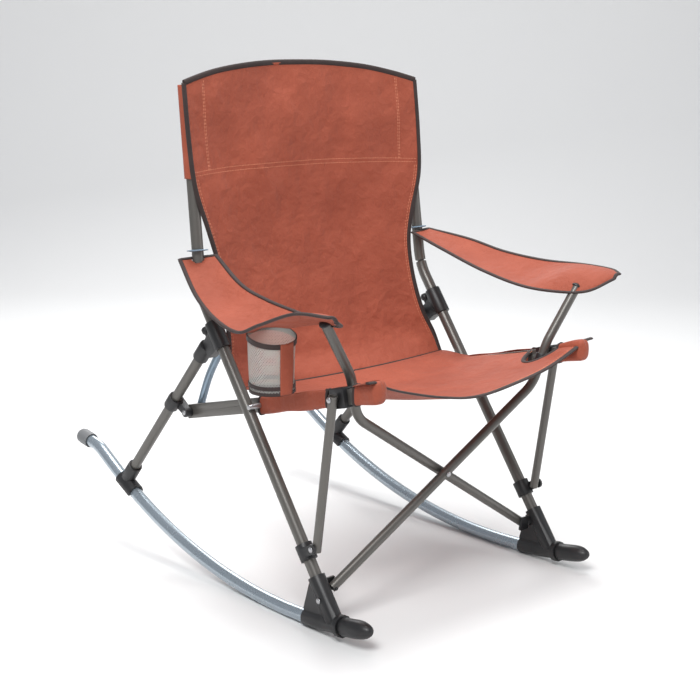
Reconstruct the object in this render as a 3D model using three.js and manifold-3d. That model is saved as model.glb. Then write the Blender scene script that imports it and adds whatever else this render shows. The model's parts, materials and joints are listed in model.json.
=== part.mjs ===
// A folding camp rocking chair: two side frames on curved rails, joined by a crossed pair of
// tubes that carry the arm posts, with a fabric seat, back and arms and a cup holder.
//
// Millimetres, +Z up, the sitter faces -Y and the right side frame is at -X. A point of a side
// frame is { y, z }, measured from the lowest point of the rocker's arc at floor level; the
// whole chair is moved onto its own bounding box at the end.

import * as THREE from 'three';
import { mergeVertices } from 'three/addons/utils/BufferGeometryUtils.js';
import Module from 'manifold-3d';

const wasm = await Module();
wasm.setup();

// ---------------------------------------------------------------- driving dimensions

const GAP = 0.3; // clearance between pieces that touch
const HALF_TRACK = 280; // from the middle of the chair to the plane of a side frame
const SIDES = 12; // facets round a tube, one of them facing down
const SMALL_SIDES = 10; // facets round a thin tube or a pin
const MOULDED_WALL = 3.5; // wall of the moulded sleeves

const ROCKER = { diameter: 25, wall: 1.5, radius: 1140, step: 3, stepsFront: 3.5, stepsRear: 9.5 };
const TAIL = { run: 60, flat: 58, slope: 8, bend: 90 }; // the rail's kick-up behind its arc
const TOE_CAP = { grip: 16, straight: 20, nose: 36, wall: 2.6 };
const TAIL_CAP = { grip: 26, straight: 6, nose: 12, wall: 2 };

const MAIN = { diameter: 22, wall: 1.5, bend: 120, foot: 46, lean: 35.9 };
const LEG_LINE = { y: -83, z: 146 }; // a point that the front leg's line passes through
const UPRIGHT = { lean: 7, corner: 554, top: 930, toeIn: 8 }; // the tops stand closer by 2 x toeIn
const FOOT_BRACKET = { front: -188, rear: -92, railWall: 2, rim: 4, neck: 98, screw: 64 };

const REAR_LEG = { diameter: 20, wall: 1.4, top: { y: 200, z: 452 }, foot: { y: 478, z: 146 }, over: 6 };
const REAR_SADDLE = { grip: 30, wrap: 24, opening: 17 };
const REAR_COLLAR = { along: 166, length: 28, arm: 9 };

const SEAT_RAIL = { height: 27, width: 13, wall: 1.3, inset: 25, slope: 13.9, length: 559, pinFromEnd: 11 };
const SEAT_RAIL_REAR = { y: 293, z: 309.5 };
const HUB_FROM_PIVOT = 459; // along a seat rail, from its rear pin to its front hub
const SEAT_HUB = { length: 36, wall: 4, skin: 2 };
const STOP_STUD = { roller: 5, shank: 2.6, head: 5.5, headHeight: 2.2 };

const BACK_HUB = { height: 482, length: 54, block: 20, socket: 28, lugRadius: 9 };
const PEG = { behind: 29, below: 6, stem: 5, head: 8.2, length: 38 };
const BRACE = { diameter: 15, wall: 1.2, inset: 40, bow: 9, over: 7 };

const SLIDER = { height: 135, length: 30, plate: 5, arm: 9 };
const STRUT = { diameter: 16, wall: 1.2, forward: 29, up: 15, over: 6 };
const PIN = { radius: 3, head: 5.5, headHeight: 2.4, proud: 2 };

const FOOT_PIVOT = { y: -119, z: 76 };
const CROSS = { diameter: 17.5, wall: 1.2, half: 251, lean: 7.5, split: 0.5, foot: 3 };
const CROSS_BENDS = [{ x: 214, s: 302, radius: 60 }, { x: 237, s: 381, radius: 90 }];
const CROSS_TOP = { x: 303, s: 481 };
const POST_COLLAR = { s: 349, wall: 2.6, length: 20 };
const POST_CAP = { radius: 11, rise: 3, height: 7, plug: 14 };
const LUG = { plate: 5, width: 22, height: 26, boss: 8, seam: 1.5 };
const LUG_FACE = CROSS.half + LUG.width / 2 + LUG.seam; // where lug and bracket meet, from the middle

const ARM_DISC = { height: 632, radius: 20, thickness: 4 };
const ARM_THICKNESS = 4;
const ARM_INNER = [[250, 202, 612], [262, 60, 578], [276, -80, 562], [296, -190, 573], [330, -240, 574]];
const ARM_OUTER = [[300, 202, 618], [345, 74, 598], [368, -54, 582], [374, -150, 580], [362, -244, 577]];
const CUP_ARM_DROP = 50; // how far the outer edge of the arm with the cup holder hangs down
const CUP = { x: 322, y: -54, foot: 424, rim: 516, footRadius: 39, rimRadius: 43, wall: 2, base: 3 };

const SEAT_SLING = { rear: { y: 165, z: 366 }, overRail: 8, sag: 46, rearSag: 14, side: 4, thickness: 5 };
const POST_SLOT = { inner: 196, length: 64 }; // the cut-outs of the seat round the arm posts
const BACK_SLING = { foot: { y: 172, z: 376 }, top: { y: 256, z: 964 }, bow: 30, waist: 0.84, thickness: 5 };

// ---------------------------------------------------------------- colours and finishes

const finish = (color, roughness, metalness) => () =>
  new THREE.MeshStandardMaterial({ color, roughness, metalness });
const railPaint = finish(0x8f9aa3, 0.32, 0.75);
const framePaint = finish(0x4b4a46, 0.45, 0.6);
const bracePaint = finish(0x6d8196, 0.35, 0.7);
const moulding = finish(0x1c1d1e, 0.5, 0.0);
const zinc = finish(0x8a8c8e, 0.4, 0.85);
const bluePlastic = finish(0x5d7186, 0.45, 0.0);
const greyPlastic = finish(0x6f7375, 0.5, 0.1);
const orangeCloth = finish(0xb9573c, 0.9, 0.0);
const meshCloth = finish(0x9a9b98, 0.85, 0.0);

// ---------------------------------------------------------------- points and directions

/** How far the corners of a faceted round reach, when its flats lie at the given radius. */
const cornerRadius = (radius, sides = SIDES) => radius / Math.cos(Math.PI / sides);
/** The radius at the flats of a bore that clears a faceted tube however the two are turned. */
const boreFor = (diameter, sides = SIDES) => cornerRadius(diameter / 2, sides) + GAP;
const PIN_BORE = boreFor(PIN.radius * 2, SMALL_SIDES);

const rad = THREE.MathUtils.degToRad;
const { lerp } = THREE.MathUtils;
const v3 = (x, y, z) => new THREE.Vector3(x, y, z);
const X_AXIS = v3(1, 0, 0);

/** A point of the side plane as a vector, a distance x out of the plane. */
const place = (p, x = 0) => v3(x, p.y, p.z);
/** The point a distance along a heading from a point of the side plane. */
const along = (p, heading, distance) => ({ y: p.y + heading.y * distance, z: p.z + heading.z * distance });
/** The heading from one point of the side plane to another. */
function toward(from, to) {
  const length = Math.hypot(to.y - from.y, to.z - from.z);
  return { y: (to.y - from.y) / length, z: (to.z - from.z) / length };
}
/** The heading a quarter turn from another. */
const square = (heading) => ({ y: -heading.z, z: heading.y });

const legUp = { y: Math.sin(rad(MAIN.lean)), z: Math.cos(rad(MAIN.lean)) };
const legAt = (z) => along(LEG_LINE, legUp, (z - LEG_LINE.z) / legUp.z);
const legCorner = legAt(UPRIGHT.corner);
const uprightUp = { y: Math.sin(rad(UPRIGHT.lean)), z: Math.cos(rad(UPRIGHT.lean)) };
/** A point on the middle line of the upright, which leans a little towards the chair's middle. */
function uprightAt(z, inward) {
  const share = (z - legCorner.z) / (UPRIGHT.top - legCorner.z);
  return place(along(legCorner, uprightUp, (z - legCorner.z) / uprightUp.z), inward * UPRIGHT.toeIn * share);
}

const rearDown = toward(REAR_LEG.top, REAR_LEG.foot);
const rearCollarCentre = along(REAR_LEG.top, rearDown, REAR_COLLAR.along);

const railForward = { y: -Math.cos(rad(SEAT_RAIL.slope)), z: Math.sin(rad(SEAT_RAIL.slope)) };
const railFront = along(SEAT_RAIL_REAR, railForward, SEAT_RAIL.length);
const seatPivot = along(SEAT_RAIL_REAR, railForward, SEAT_RAIL.pinFromEnd);
const seatHub = along(seatPivot, railForward, HUB_FROM_PIVOT);

/** How far a turns towards b in the side plane: the x of their cross product. */
const cross = (a, b) => a.y * b.z - a.z * b.y;
/** Where the roller of the stop stud rests on the front of the leg, on the line of a seat rail. */
const stopClearance = cornerRadius(MAIN.diameter / 2) + STOP_STUD.roller + GAP;
const stopReach = (cross({ y: seatPivot.y - LEG_LINE.y, z: seatPivot.z - LEG_LINE.z }, legUp) + stopClearance)
  / cross(legUp, railForward);
const stopPlace = along(seatPivot, railForward, stopReach);

const sliderCentre = legAt(SLIDER.height);
const strutFoot = { y: sliderCentre.y - STRUT.forward, z: sliderCentre.z + STRUT.up };
const hubCentre = legAt(BACK_HUB.height);
const braceTop = along(REAR_LEG.top, rearDown, 2);

// ---------------------------------------------------------------- sections, sweeps and plates

function roundPoints(radius, sides) {
  return Array.from({ length: sides }, (_, i) => {
    const angle = (2 * Math.PI * (i + 0.5)) / sides;
    return new THREE.Vector2(Math.cos(angle), Math.sin(angle)).multiplyScalar(cornerRadius(radius, sides));
  });
}

function rectPoints(width, height) {
  const corners = [[1, 1], [-1, 1], [-1, -1], [1, -1]];
  return corners.map(([a, b]) => new THREE.Vector2((a * width) / 2, (b * height) / 2));
}

function section(outer, hole) {
  const shape = new THREE.Shape(outer);
  if (hole) shape.holes.push(new THREE.Path([...hole].reverse()));
  return shape;
}

const tubeSection = (diameter, wall, sides = SIDES) =>
  section(roundPoints(diameter / 2, sides), roundPoints(diameter / 2 - wall, sides));
const rodSection = (radius, sides = SIDES) => section(roundPoints(radius, sides));

/** A path given by its stations, each a point with its tangent, so straight runs have no others. */
class StationPath extends THREE.Curve {
  constructor(stations) {
    super();
    this.stations = stations;
  }

  station(u) {
    return this.stations[Math.round(u * (this.stations.length - 1))];
  }

  getPoint(u) {
    return this.station(u).point.clone();
  }

  getPointAt(u) {
    return this.getPoint(u);
  }

  getTangentAt(u) {
    return this.station(u).tangent.clone();
  }
}

/** Stations through corner points, with each inner corner rounded to its radius. */
function bentRoute(corners, radii = []) {
  const headings = corners.slice(1).map((p, i) => p.clone().sub(corners[i]).normalize());
  const stations = [{ point: corners[0], tangent: headings[0] }];
  radii.forEach((radius, i) => {
    const before = headings[i];
    const after = headings[i + 1];
    const turn = before.angleTo(after);
    const inward = after.clone().addScaledVector(before, -before.dot(after)).normalize();
    const start = corners[i + 1].clone().addScaledVector(before, -radius * Math.tan(turn / 2));
    const steps = Math.max(2, Math.ceil(turn / rad(9)));
    for (let k = 0; k <= steps; k += 1) {
      const angle = (turn * k) / steps;
      const point = start.clone()
        .addScaledVector(before, radius * Math.sin(angle))
        .addScaledVector(inward, radius * (1 - Math.cos(angle)));
      const tangent = before.clone().multiplyScalar(Math.cos(angle)).addScaledVector(inward, Math.sin(angle));
      stations.push({ point, tangent });
    }
  });
  stations.push({ point: corners.at(-1), tangent: headings.at(-1) });
  return stations;
}

function sweep(shape, stations) {
  return new THREE.ExtrudeGeometry(shape, {
    steps: stations.length - 1,
    bevelEnabled: false,
    extrudePath: new StationPath(stations),
  });
}

const straight = (from, to, shape) => sweep(shape, bentRoute([from, to]));
const rod = (from, to, radius, sides = SIDES) => straight(from, to, rodSection(radius, sides));
/** A round bar in the side plane, and one across it. */
const planeRod = (from, to, radius) => rod(place(from), place(to), radius);
const crossRod = (p, fromX, toX, radius, sides = SMALL_SIDES) =>
  rod(place(p, fromX), place(p, toX), radius, sides);

/** A plate with an outline in the side plane, between two distances out of it. */
function plate(outline, fromX, toX) {
  const shape = new THREE.Shape(outline.map((p) => new THREE.Vector2(p.y, p.z)));
  const geometry = new THREE.ExtrudeGeometry(shape, { depth: Math.abs(toX - fromX), bevelEnabled: false });
  geometry.applyMatrix4(new THREE.Matrix4().makeBasis(v3(0, 1, 0), v3(0, 0, 1), X_AXIS));
  return geometry.translate(Math.min(fromX, toX), 0, 0);
}

/** A bar in the side plane that tapers from one half-width to another. */
function taperedPlate(from, to, fromHalf, toHalf, fromX, toX) {
  const aside = square(toward(from, to));
  const outline = [
    along(from, aside, fromHalf), along(from, aside, -fromHalf),
    along(to, aside, -toHalf), along(to, aside, toHalf),
  ];
  return plate(outline, fromX, toX);
}

/** A turned piece from the [radius, height] points of its closed profile. */
function turned(profile, sides = SMALL_SIDES) {
  const points = profile.map(([r, h]) => new THREE.Vector2(r, h));
  if (THREE.ShapeUtils.area(points) < 0) points.reverse();
  if (points[0].x > 0) points.push(points[0].clone());
  return new THREE.LatheGeometry(points, sides);
}

/** The profile of a cap on a tube's end: a socket, a straight part and a round nose. */
function capProfile(diameter, cap) {
  const bore = cornerRadius(boreFor(diameter) + GAP);
  const outer = bore + cap.wall;
  const nose = [0, 18, 36, 54, 72].map((angle) => [
    outer * Math.cos(rad(angle)),
    cap.straight + cap.nose * Math.sin(rad(angle)),
  ]);
  const socket = [[0, GAP], [bore, GAP], [bore, -cap.grip], [outer, -cap.grip]];
  return [...socket, ...nose, [0, cap.straight + cap.nose]];
}

// ---------------------------------------------------------------- joining, cutting and placing

function solid(geometry) {
  const bare = geometry.index ? geometry.toNonIndexed() : geometry.clone();
  bare.deleteAttribute('normal');
  bare.deleteAttribute('uv');
  const merged = mergeVertices(bare, 1e-4);
  return new wasm.Manifold(new wasm.Mesh({
    numProp: 3,
    vertProperties: new Float32Array(merged.attributes.position.array),
    triVerts: new Uint32Array(merged.index.array),
  }));
}

/** The first geometries joined, with the second ones cut away. */
function shaped(joined, cut = []) {
  const whole = joined.map(solid).reduce((a, b) => a.add(b));
  const mesh = cut.map(solid).reduce((a, b) => a.subtract(b), whole).getMesh();
  const geometry = new THREE.BufferGeometry();
  geometry.setAttribute('position', new THREE.BufferAttribute(mesh.vertProperties, 3));
  geometry.setIndex(new THREE.BufferAttribute(mesh.triVerts, 1));
  const faceted = geometry.toNonIndexed();
  faceted.computeVertexNormals();
  return faceted;
}

function add(group, name, geometry, material) {
  const mesh = new THREE.Mesh(geometry, material());
  mesh.name = name;
  group.add(mesh);
  return mesh;
}

/** Adds a turned piece at a point, with its axis along a heading. */
function addTurned(group, name, profile, material, point, heading, sides) {
  const mesh = add(group, name, turned(profile, sides), material);
  mesh.position.copy(point);
  mesh.quaternion.setFromUnitVectors(v3(0, 1, 0), heading.clone().normalize());
}

/** A headed pin across the side plane, from under its outer head to its plain inner end. */
function addPin(group, name, at, inward, start, end) {
  const profile = [
    [0, start - PIN.headHeight], [PIN.head * 0.6, start - PIN.headHeight],
    [PIN.head, start - PIN.headHeight / 2], [PIN.head, start],
    [PIN.radius, start], [PIN.radius, end], [0, end],
  ];
  addTurned(group, name, profile, zinc, place(at), v3(inward, 0, 0));
}

// ---------------------------------------------------------------- the rocker and its caps

/** The station of the rocker's arc at an angle from its lowest point. */
function rockerStation(degrees) {
  const angle = rad(degrees);
  const centreZ = ROCKER.radius + ROCKER.diameter / 2;
  return {
    point: v3(0, ROCKER.radius * Math.sin(angle), centreZ - ROCKER.radius * Math.cos(angle)),
    tangent: v3(0, Math.cos(angle), Math.sin(angle)),
  };
}

const rockerDegrees = (y) => THREE.MathUtils.radToDeg(Math.asin(y / ROCKER.radius));

/** Stations of the rocker's arc between two distances behind its lowest point. */
function rockerStretch(fromY, toY, steps = 2) {
  return Array.from({ length: steps + 1 },
    (_, i) => rockerStation(rockerDegrees(lerp(fromY, toY, i / steps))));
}

function rocker(group, side) {
  const arc = [];
  for (let k = -ROCKER.stepsFront; k <= ROCKER.stepsRear; k += 1) arc.push(rockerStation(k * ROCKER.step));
  const last = arc.at(-1);
  const knee = last.point.clone().addScaledVector(last.tangent, TAIL.run);
  const tailHeading = v3(0, Math.cos(rad(TAIL.slope)), Math.sin(rad(TAIL.slope)));
  const tip = knee.clone().addScaledVector(tailHeading, TAIL.flat);
  const stations = [...arc, ...bentRoute([last.point, knee, tip], [TAIL.bend]).slice(1)];
  add(group, `${side}_rocker_rail`, sweep(tubeSection(ROCKER.diameter, ROCKER.wall), stations), railPaint);

  addTurned(group, `${side}_toe_cap`, capProfile(ROCKER.diameter, TOE_CAP), moulding,
    arc[0].point, arc[0].tangent.clone().negate(), SIDES);
  addTurned(group, `${side}_tail_cap`, capProfile(ROCKER.diameter, TAIL_CAP), greyPlastic,
    tip, stations.at(-1).tangent, SIDES);
}

// ---------------------------------------------------------------- the front leg and its foot

/** The moulding that holds the leg's foot on the rail and carries the boss of the foot lug. */
function footBracket(group, side, inward) {
  const railGrip = boreFor(ROCKER.diameter) + FOOT_BRACKET.railWall;
  const legGrip = boreFor(MAIN.diameter) + MOULDED_WALL;
  const foot = legAt(MAIN.foot);
  const { front, rear, rim } = FOOT_BRACKET;
  const gusset = [
    { y: front + 6, z: 30 }, { y: -162, z: 50 }, { y: -136, z: 92 }, { y: -106, z: 84 },
    { y: rear + 2, z: 34 }, { y: rear, z: 16 }, { y: front + 4, z: 24 },
  ];
  const joined = [
    sweep(rodSection(railGrip), rockerStretch(front, rear)),
    sweep(rodSection(railGrip + rim), rockerStretch(front - 2, front + 8, 1)),
    planeRod(along(foot, legUp, -20), legAt(FOOT_BRACKET.neck), legGrip),
    plate(gusset, -7, 7),
    crossRod(FOOT_PIVOT, 0, inward * (HALF_TRACK - LUG_FACE), LUG.boss + 1),
  ];
  const screw = legAt(FOOT_BRACKET.screw);
  const cut = [
    sweep(rodSection(boreFor(ROCKER.diameter)), rockerStretch(front - 20, rear + 20, 4)),
    planeRod(along(foot, legUp, -GAP), legAt(FOOT_BRACKET.neck + 40), boreFor(MAIN.diameter)),
    crossRod(screw, 0, -inward * 30, PIN_BORE),
  ];
  add(group, `${side}_foot_bracket`, shaped(joined, cut), moulding);
  const inner = cornerRadius(MAIN.diameter / 2) + GAP;
  addPin(group, `${side}_bracket_screw`, screw, inward, -legGrip - 0.8, -inner);
}

function frontLeg(group, side, inward) {
  const top = uprightAt(UPRIGHT.top, inward);
  const corners = [place(legAt(MAIN.foot)), place(legCorner), top];
  const tube = sweep(tubeSection(MAIN.diameter, MAIN.wall), bentRoute(corners, [MAIN.bend]));
  add(group, `${side}_main_tube`, tube, framePaint);

  const discBore = cornerRadius(boreFor(MAIN.diameter));
  const half = ARM_DISC.thickness / 2;
  const disc = [
    [discBore, -half], [ARM_DISC.radius, -half * 0.4], [ARM_DISC.radius, half * 0.4], [discBore, half],
  ];
  addTurned(group, `${side}_arm_disc`, disc, bluePlastic, uprightAt(ARM_DISC.height, inward),
    top.clone().sub(corners[1]), SIDES);
}

// ---------------------------------------------------------------- the rear leg and what it carries

function rearLeg(group, side) {
  const tube = straight(place(along(REAR_LEG.top, rearDown, REAR_LEG.over)), place(REAR_LEG.foot),
    tubeSection(REAR_LEG.diameter, REAR_LEG.wall));
  add(group, `${side}_rear_leg`, tube, framePaint);
}

/** The open clip at the foot of the rear leg: a sleeve on the leg, and jaws round the rail. */
function rearSaddle(group, side) {
  const seat = rockerStation(rockerDegrees(REAR_LEG.foot.y + REAR_SADDLE.wrap / 4));
  const below = (run, drop) => {
    const p = seat.point.clone().addScaledVector(seat.tangent, run);
    return { y: p.y + seat.tangent.z * drop, z: p.z - seat.tangent.y * drop };
  };
  const reach = REAR_SADDLE.wrap * 2;
  const socket = along(REAR_LEG.foot, rearDown, -REAR_SADDLE.grip);
  const joined = [
    sweep(rodSection(boreFor(ROCKER.diameter) + MOULDED_WALL),
      rockerStretch(seat.point.y - REAR_SADDLE.wrap, seat.point.y + REAR_SADDLE.wrap)),
    planeRod(socket, along(REAR_LEG.foot, rearDown, 12), boreFor(REAR_LEG.diameter) + MOULDED_WALL),
  ];
  const mouth = [below(-reach, 4), below(reach, 4), below(reach, 40), below(-reach, 40)];
  const cut = [
    sweep(rodSection(boreFor(ROCKER.diameter)), rockerStretch(seat.point.y - reach, seat.point.y + reach)),
    planeRod(along(socket, rearDown, -5), along(REAR_LEG.foot, rearDown, GAP), boreFor(REAR_LEG.diameter)),
    plate(mouth, -REAR_SADDLE.opening, REAR_SADDLE.opening),
  ];
  add(group, `${side}_rear_saddle`, shaped(joined, cut), moulding);
}

/** The moulding that joins the front leg, the rear leg and the curved brace. */
function backHub(group, side, inward) {
  const half = BACK_HUB.length / 2;
  const behind = { y: legUp.z, z: -legUp.y };
  const corner = (up, back) => along(along(hubCentre, legUp, up), behind, back);
  const pegFoot = corner(-PEG.below, PEG.behind);
  const lug = BRACE.inset - cornerRadius(BRACE.diameter / 2, SMALL_SIDES) - GAP;
  const web = [
    corner(-half + 4, 0), corner(half - 8, 0), corner(6, PEG.behind + 9),
    corner(-half + 2, PEG.behind + 12),
  ];
  const joined = [
    planeRod(corner(-half, 0), corner(half, 0), boreFor(MAIN.diameter) + MOULDED_WALL),
    plate(web, -BACK_HUB.block / 2, BACK_HUB.block / 2),
    planeRod(along(REAR_LEG.top, rearDown, -8), along(REAR_LEG.top, rearDown, BACK_HUB.socket),
      boreFor(REAR_LEG.diameter) + MOULDED_WALL),
    crossRod(braceTop, 0, inward * lug, BACK_HUB.lugRadius),
    crossRod(braceTop, inward * (lug - 1),
      inward * (BRACE.inset + BRACE.diameter / 2 + PIN.proud), PIN.radius),
  ];
  const cut = [
    planeRod(corner(-half - 20, 0), corner(half + 20, 0), boreFor(MAIN.diameter)),
    planeRod(along(REAR_LEG.top, rearDown, REAR_LEG.over - GAP), along(REAR_LEG.top, rearDown, 60),
      boreFor(REAR_LEG.diameter)),
    planeRod(pegFoot, along(pegFoot, legUp, 60), boreFor(PEG.stem * 2)),
  ];
  add(group, `${side}_back_hub`, shaped(joined, cut), moulding);
  const { stem, head, length } = PEG;
  const profile = [
    [0, 0], [stem, 0], [stem, length - 14], [head, length - 10], [head, length - 4],
    [head * 0.6, length], [0, length],
  ];
  addTurned(group, `${side}_hub_peg`, profile, moulding, place(along(pegFoot, legUp, GAP)), place(legUp));
}

function curvedBrace(group, side, inward) {
  const x = inward * BRACE.inset;
  const chord = toward(braceTop, seatPivot);
  const aside = square(chord);
  const reach = Math.hypot(seatPivot.y - braceTop.y, seatPivot.z - braceTop.z);
  const ends = [along(braceTop, chord, -BRACE.over), along(seatPivot, chord, BRACE.over)];
  const elbow = along(along(braceTop, chord, reach / 2), aside, BRACE.bow);
  const bend = (reach * reach) / (10 * BRACE.bow);
  const corners = [ends[0], elbow, ends[1]].map((p) => place(p, x));
  const tube = sweep(tubeSection(BRACE.diameter, BRACE.wall, SMALL_SIDES), bentRoute(corners, [bend]));
  const holes = [braceTop, seatPivot].map((p) => crossRod(p, inward * 20, inward * 60, PIN_BORE));
  add(group, `${side}_curved_brace`, shaped([tube], holes), bracePaint);
}

/** The collar on the rear leg with the boss that a seat rail turns on, and the pin through it. */
function rearCollar(group, side, inward) {
  const half = REAR_COLLAR.length / 2;
  const start = inward * 4;
  const end = inward * (SEAT_RAIL.inset - SEAT_RAIL.width / 2 - GAP);
  const joined = [
    planeRod(along(rearCollarCentre, rearDown, -half), along(rearCollarCentre, rearDown, half),
      boreFor(REAR_LEG.diameter) + MOULDED_WALL),
    taperedPlate(rearCollarCentre, seatPivot, REAR_COLLAR.arm, 7, start, end),
    crossRod(seatPivot, start, end, REAR_COLLAR.arm),
  ];
  const cut = [
    planeRod(REAR_LEG.top, REAR_LEG.foot, boreFor(REAR_LEG.diameter)),
    crossRod(seatPivot, -inward * 5, inward * 40, PIN_BORE),
  ];
  add(group, `${side}_rear_collar`, shaped(joined, cut), moulding);
  addPin(group, `${side}_seat_pivot_pin`, seatPivot, inward, Math.abs(start) - GAP,
    BRACE.inset + BRACE.diameter / 2 + PIN.proud);
}

// ---------------------------------------------------------------- seat rail, strut and slider

function seatRail(group, side, inward) {
  const x = inward * SEAT_RAIL.inset;
  const outline = (grow) => rectPoints(SEAT_RAIL.width + grow * 2, SEAT_RAIL.height + grow * 2);
  const run = (from, to, offset, shape) => straight(place(from, offset), place(to, offset), shape);
  const tube = run(SEAT_RAIL_REAR, railFront, x, section(outline(0), outline(-SEAT_RAIL.wall)));
  const holes = [seatPivot, stopPlace, seatHub].map((p) => crossRod(p, 0, inward * 60, PIN_BORE));
  add(group, `${side}_seat_rail`, shaped([tube], holes), framePaint);

  const { roller, shank, head, headHeight } = STOP_STUD;
  const railOuter = SEAT_RAIL.inset - SEAT_RAIL.width / 2 - GAP;
  const railInner = SEAT_RAIL.inset + SEAT_RAIL.width / 2 + GAP;
  const stud = [
    [0, -MAIN.diameter / 2], [roller, -MAIN.diameter / 2], [roller, railOuter], [shank, railOuter],
    [shank, railInner], [head, railInner], [head * 0.6, railInner + headHeight], [0, railInner + headHeight],
  ];
  addTurned(group, `${side}_stop_stud`, stud, zinc, place(stopPlace), v3(inward, 0, 0));

  const seam = along(railFront, railForward, GAP);
  const plug = [
    run(along(railFront, railForward, -14), along(seam, railForward, 1), x,
      section(outline(-SEAT_RAIL.wall - GAP))),
    run(seam, along(seam, railForward, 4), x, section(outline(0))),
  ];
  add(group, `${side}_seat_rail_cap`, shaped(plug), moulding);

  const half = SEAT_HUB.length / 2;
  const outerFace = cornerRadius(STRUT.diameter / 2, SMALL_SIDES) + GAP;
  const innerFace = SEAT_RAIL.inset + SEAT_RAIL.width / 2 + SEAT_HUB.skin;
  const block = section(rectPoints(innerFace - outerFace, SEAT_RAIL.height + 2 * SEAT_HUB.wall));
  const hub = shaped(
    [run(along(seatHub, railForward, -half), along(seatHub, railForward, half),
      (inward * (innerFace + outerFace)) / 2, block)],
    [run(SEAT_RAIL_REAR, along(railFront, railForward, 20), x, section(outline(GAP))),
      crossRod(seatHub, -inward * 10, inward * 60, PIN_BORE)],
  );
  add(group, `${side}_seat_hub`, hub, moulding);
  addPin(group, `${side}_hub_pin`, seatHub, inward, -outerFace, innerFace - 1);
}

function strutAndSlider(group, side, inward) {
  const up = toward(strutFoot, seatHub);
  const tube = straight(place(along(strutFoot, up, -STRUT.over)), place(along(seatHub, up, STRUT.over)),
    tubeSection(STRUT.diameter, STRUT.wall, SMALL_SIDES));
  const holes = [strutFoot, seatHub].map((p) => crossRod(p, -30, 30, PIN_BORE));
  add(group, `${side}_strut`, shaped([tube], holes), framePaint);

  const half = SLIDER.length / 2;
  const plateStart = cornerRadius(STRUT.diameter / 2, SMALL_SIDES) + GAP;
  const plateEnd = plateStart + SLIDER.plate;
  const [start, end] = [-inward * plateStart, -inward * plateEnd];
  const joined = [
    planeRod(along(sliderCentre, legUp, -half), along(sliderCentre, legUp, half),
      boreFor(MAIN.diameter) + MOULDED_WALL),
    taperedPlate(sliderCentre, strutFoot, SLIDER.arm, SLIDER.arm - 1, start, end),
    crossRod(strutFoot, start, end, SLIDER.arm),
  ];
  const cut = [
    planeRod(legAt(MAIN.foot), legAt(SLIDER.height + 80), boreFor(MAIN.diameter)),
    crossRod(strutFoot, -30, 30, PIN_BORE),
  ];
  add(group, `${side}_slider`, shaped(joined, cut), moulding);
  addPin(group, `${side}_slider_pin`, strutFoot, inward, -plateEnd - GAP, -plateStart);
}

// ---------------------------------------------------------------- the crossed tubes in front

const crossUp = v3(0, -Math.sin(rad(CROSS.lean)), Math.cos(rad(CROSS.lean)));
const crossForward = X_AXIS.clone().cross(crossUp);
const crossMiddle = (CROSS_BENDS[0].s * CROSS.half) / (CROSS.half + CROSS_BENDS[0].x);

/** A point of the crossed tubes' plane: x across, s up it from the foot pivots, n in front of it. */
function crossPoint(x, s, n = 0) {
  return place(FOOT_PIVOT, x).addScaledVector(crossUp, s).addScaledVector(crossForward, n);
}

/** One crossed tube, from the foot on the other side up to this side's arm post. */
function armPost(group, side, sign) {
  const n = sign * (CROSS.diameter / 2 + CROSS.split);
  const route = [
    crossPoint(-sign * CROSS.half, 0, n),
    ...[...CROSS_BENDS, CROSS_TOP].map(({ x, s }) => crossPoint(sign * x, s, n)),
  ];
  const [foot, knee, neck, tip] = route;
  const centres = [foot.clone(), crossPoint(0, crossMiddle, n)];
  foot.addScaledVector(knee.clone().sub(foot).normalize(), -CROSS.foot);
  const tube = sweep(tubeSection(CROSS.diameter, CROSS.wall, SMALL_SIDES),
    bentRoute(route, CROSS_BENDS.map((bend) => bend.radius)));
  const holes = centres.map((p) => rod(
    p.clone().addScaledVector(crossForward, -CROSS.diameter),
    p.clone().addScaledVector(crossForward, CROSS.diameter), PIN_BORE, SMALL_SIDES));
  add(group, `${side}_post_tube`, shaped([tube], holes), framePaint);

  const share = (POST_COLLAR.s - CROSS_BENDS[0].s) / (CROSS_BENDS[1].s - CROSS_BENDS[0].s);
  const bore = cornerRadius(boreFor(CROSS.diameter, SMALL_SIDES));
  const outer = bore + POST_COLLAR.wall;
  const half = POST_COLLAR.length / 2;
  const collar = [[bore, -half], [outer, -half], [outer, half], [bore, half]];
  addTurned(group, `${side}_post_collar`, collar, moulding, knee.clone().lerp(neck, share),
    neck.clone().sub(knee), SIDES);

  const plug = CROSS.diameter / 2 - CROSS.wall - GAP;
  const cap = [
    [0, -POST_CAP.plug], [plug, -POST_CAP.plug], [plug, GAP], [POST_CAP.radius, GAP],
    [POST_CAP.radius, POST_CAP.rise], [POST_CAP.radius * 0.6, POST_CAP.height], [0, POST_CAP.height],
  ];
  addTurned(group, `${side}_post_cap`, cap, moulding, tip, tip.clone().sub(neck));
}

/** The swivel lug on this side's foot bracket, with the pin that a crossed tube turns on. */
function footLug(group, side, sign) {
  const layer = -sign;
  const x = sign * CROSS.half;
  const centre = crossPoint(x, 0, (-layer * LUG.plate) / 2);
  const shoulder = CROSS.half + LUG.width / 2 - 1;
  const pinTip = layer * (CROSS.diameter + CROSS.split + PIN.proud);
  const joined = [
    rod(place(FOOT_PIVOT, sign * (LUG_FACE - GAP)), place(FOOT_PIVOT, sign * shoulder), LUG.boss),
    straight(centre.clone().addScaledVector(crossUp, -LUG.height / 2),
      centre.clone().addScaledVector(crossUp, LUG.height / 2), section(rectPoints(LUG.width, LUG.plate))),
    rod(crossPoint(x, 0, -layer * LUG.plate * 0.5), crossPoint(x, 0, pinTip), PIN.radius, SMALL_SIDES),
  ];
  add(group, `${side}_foot_lug`, shaped(joined), moulding);
}

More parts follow.
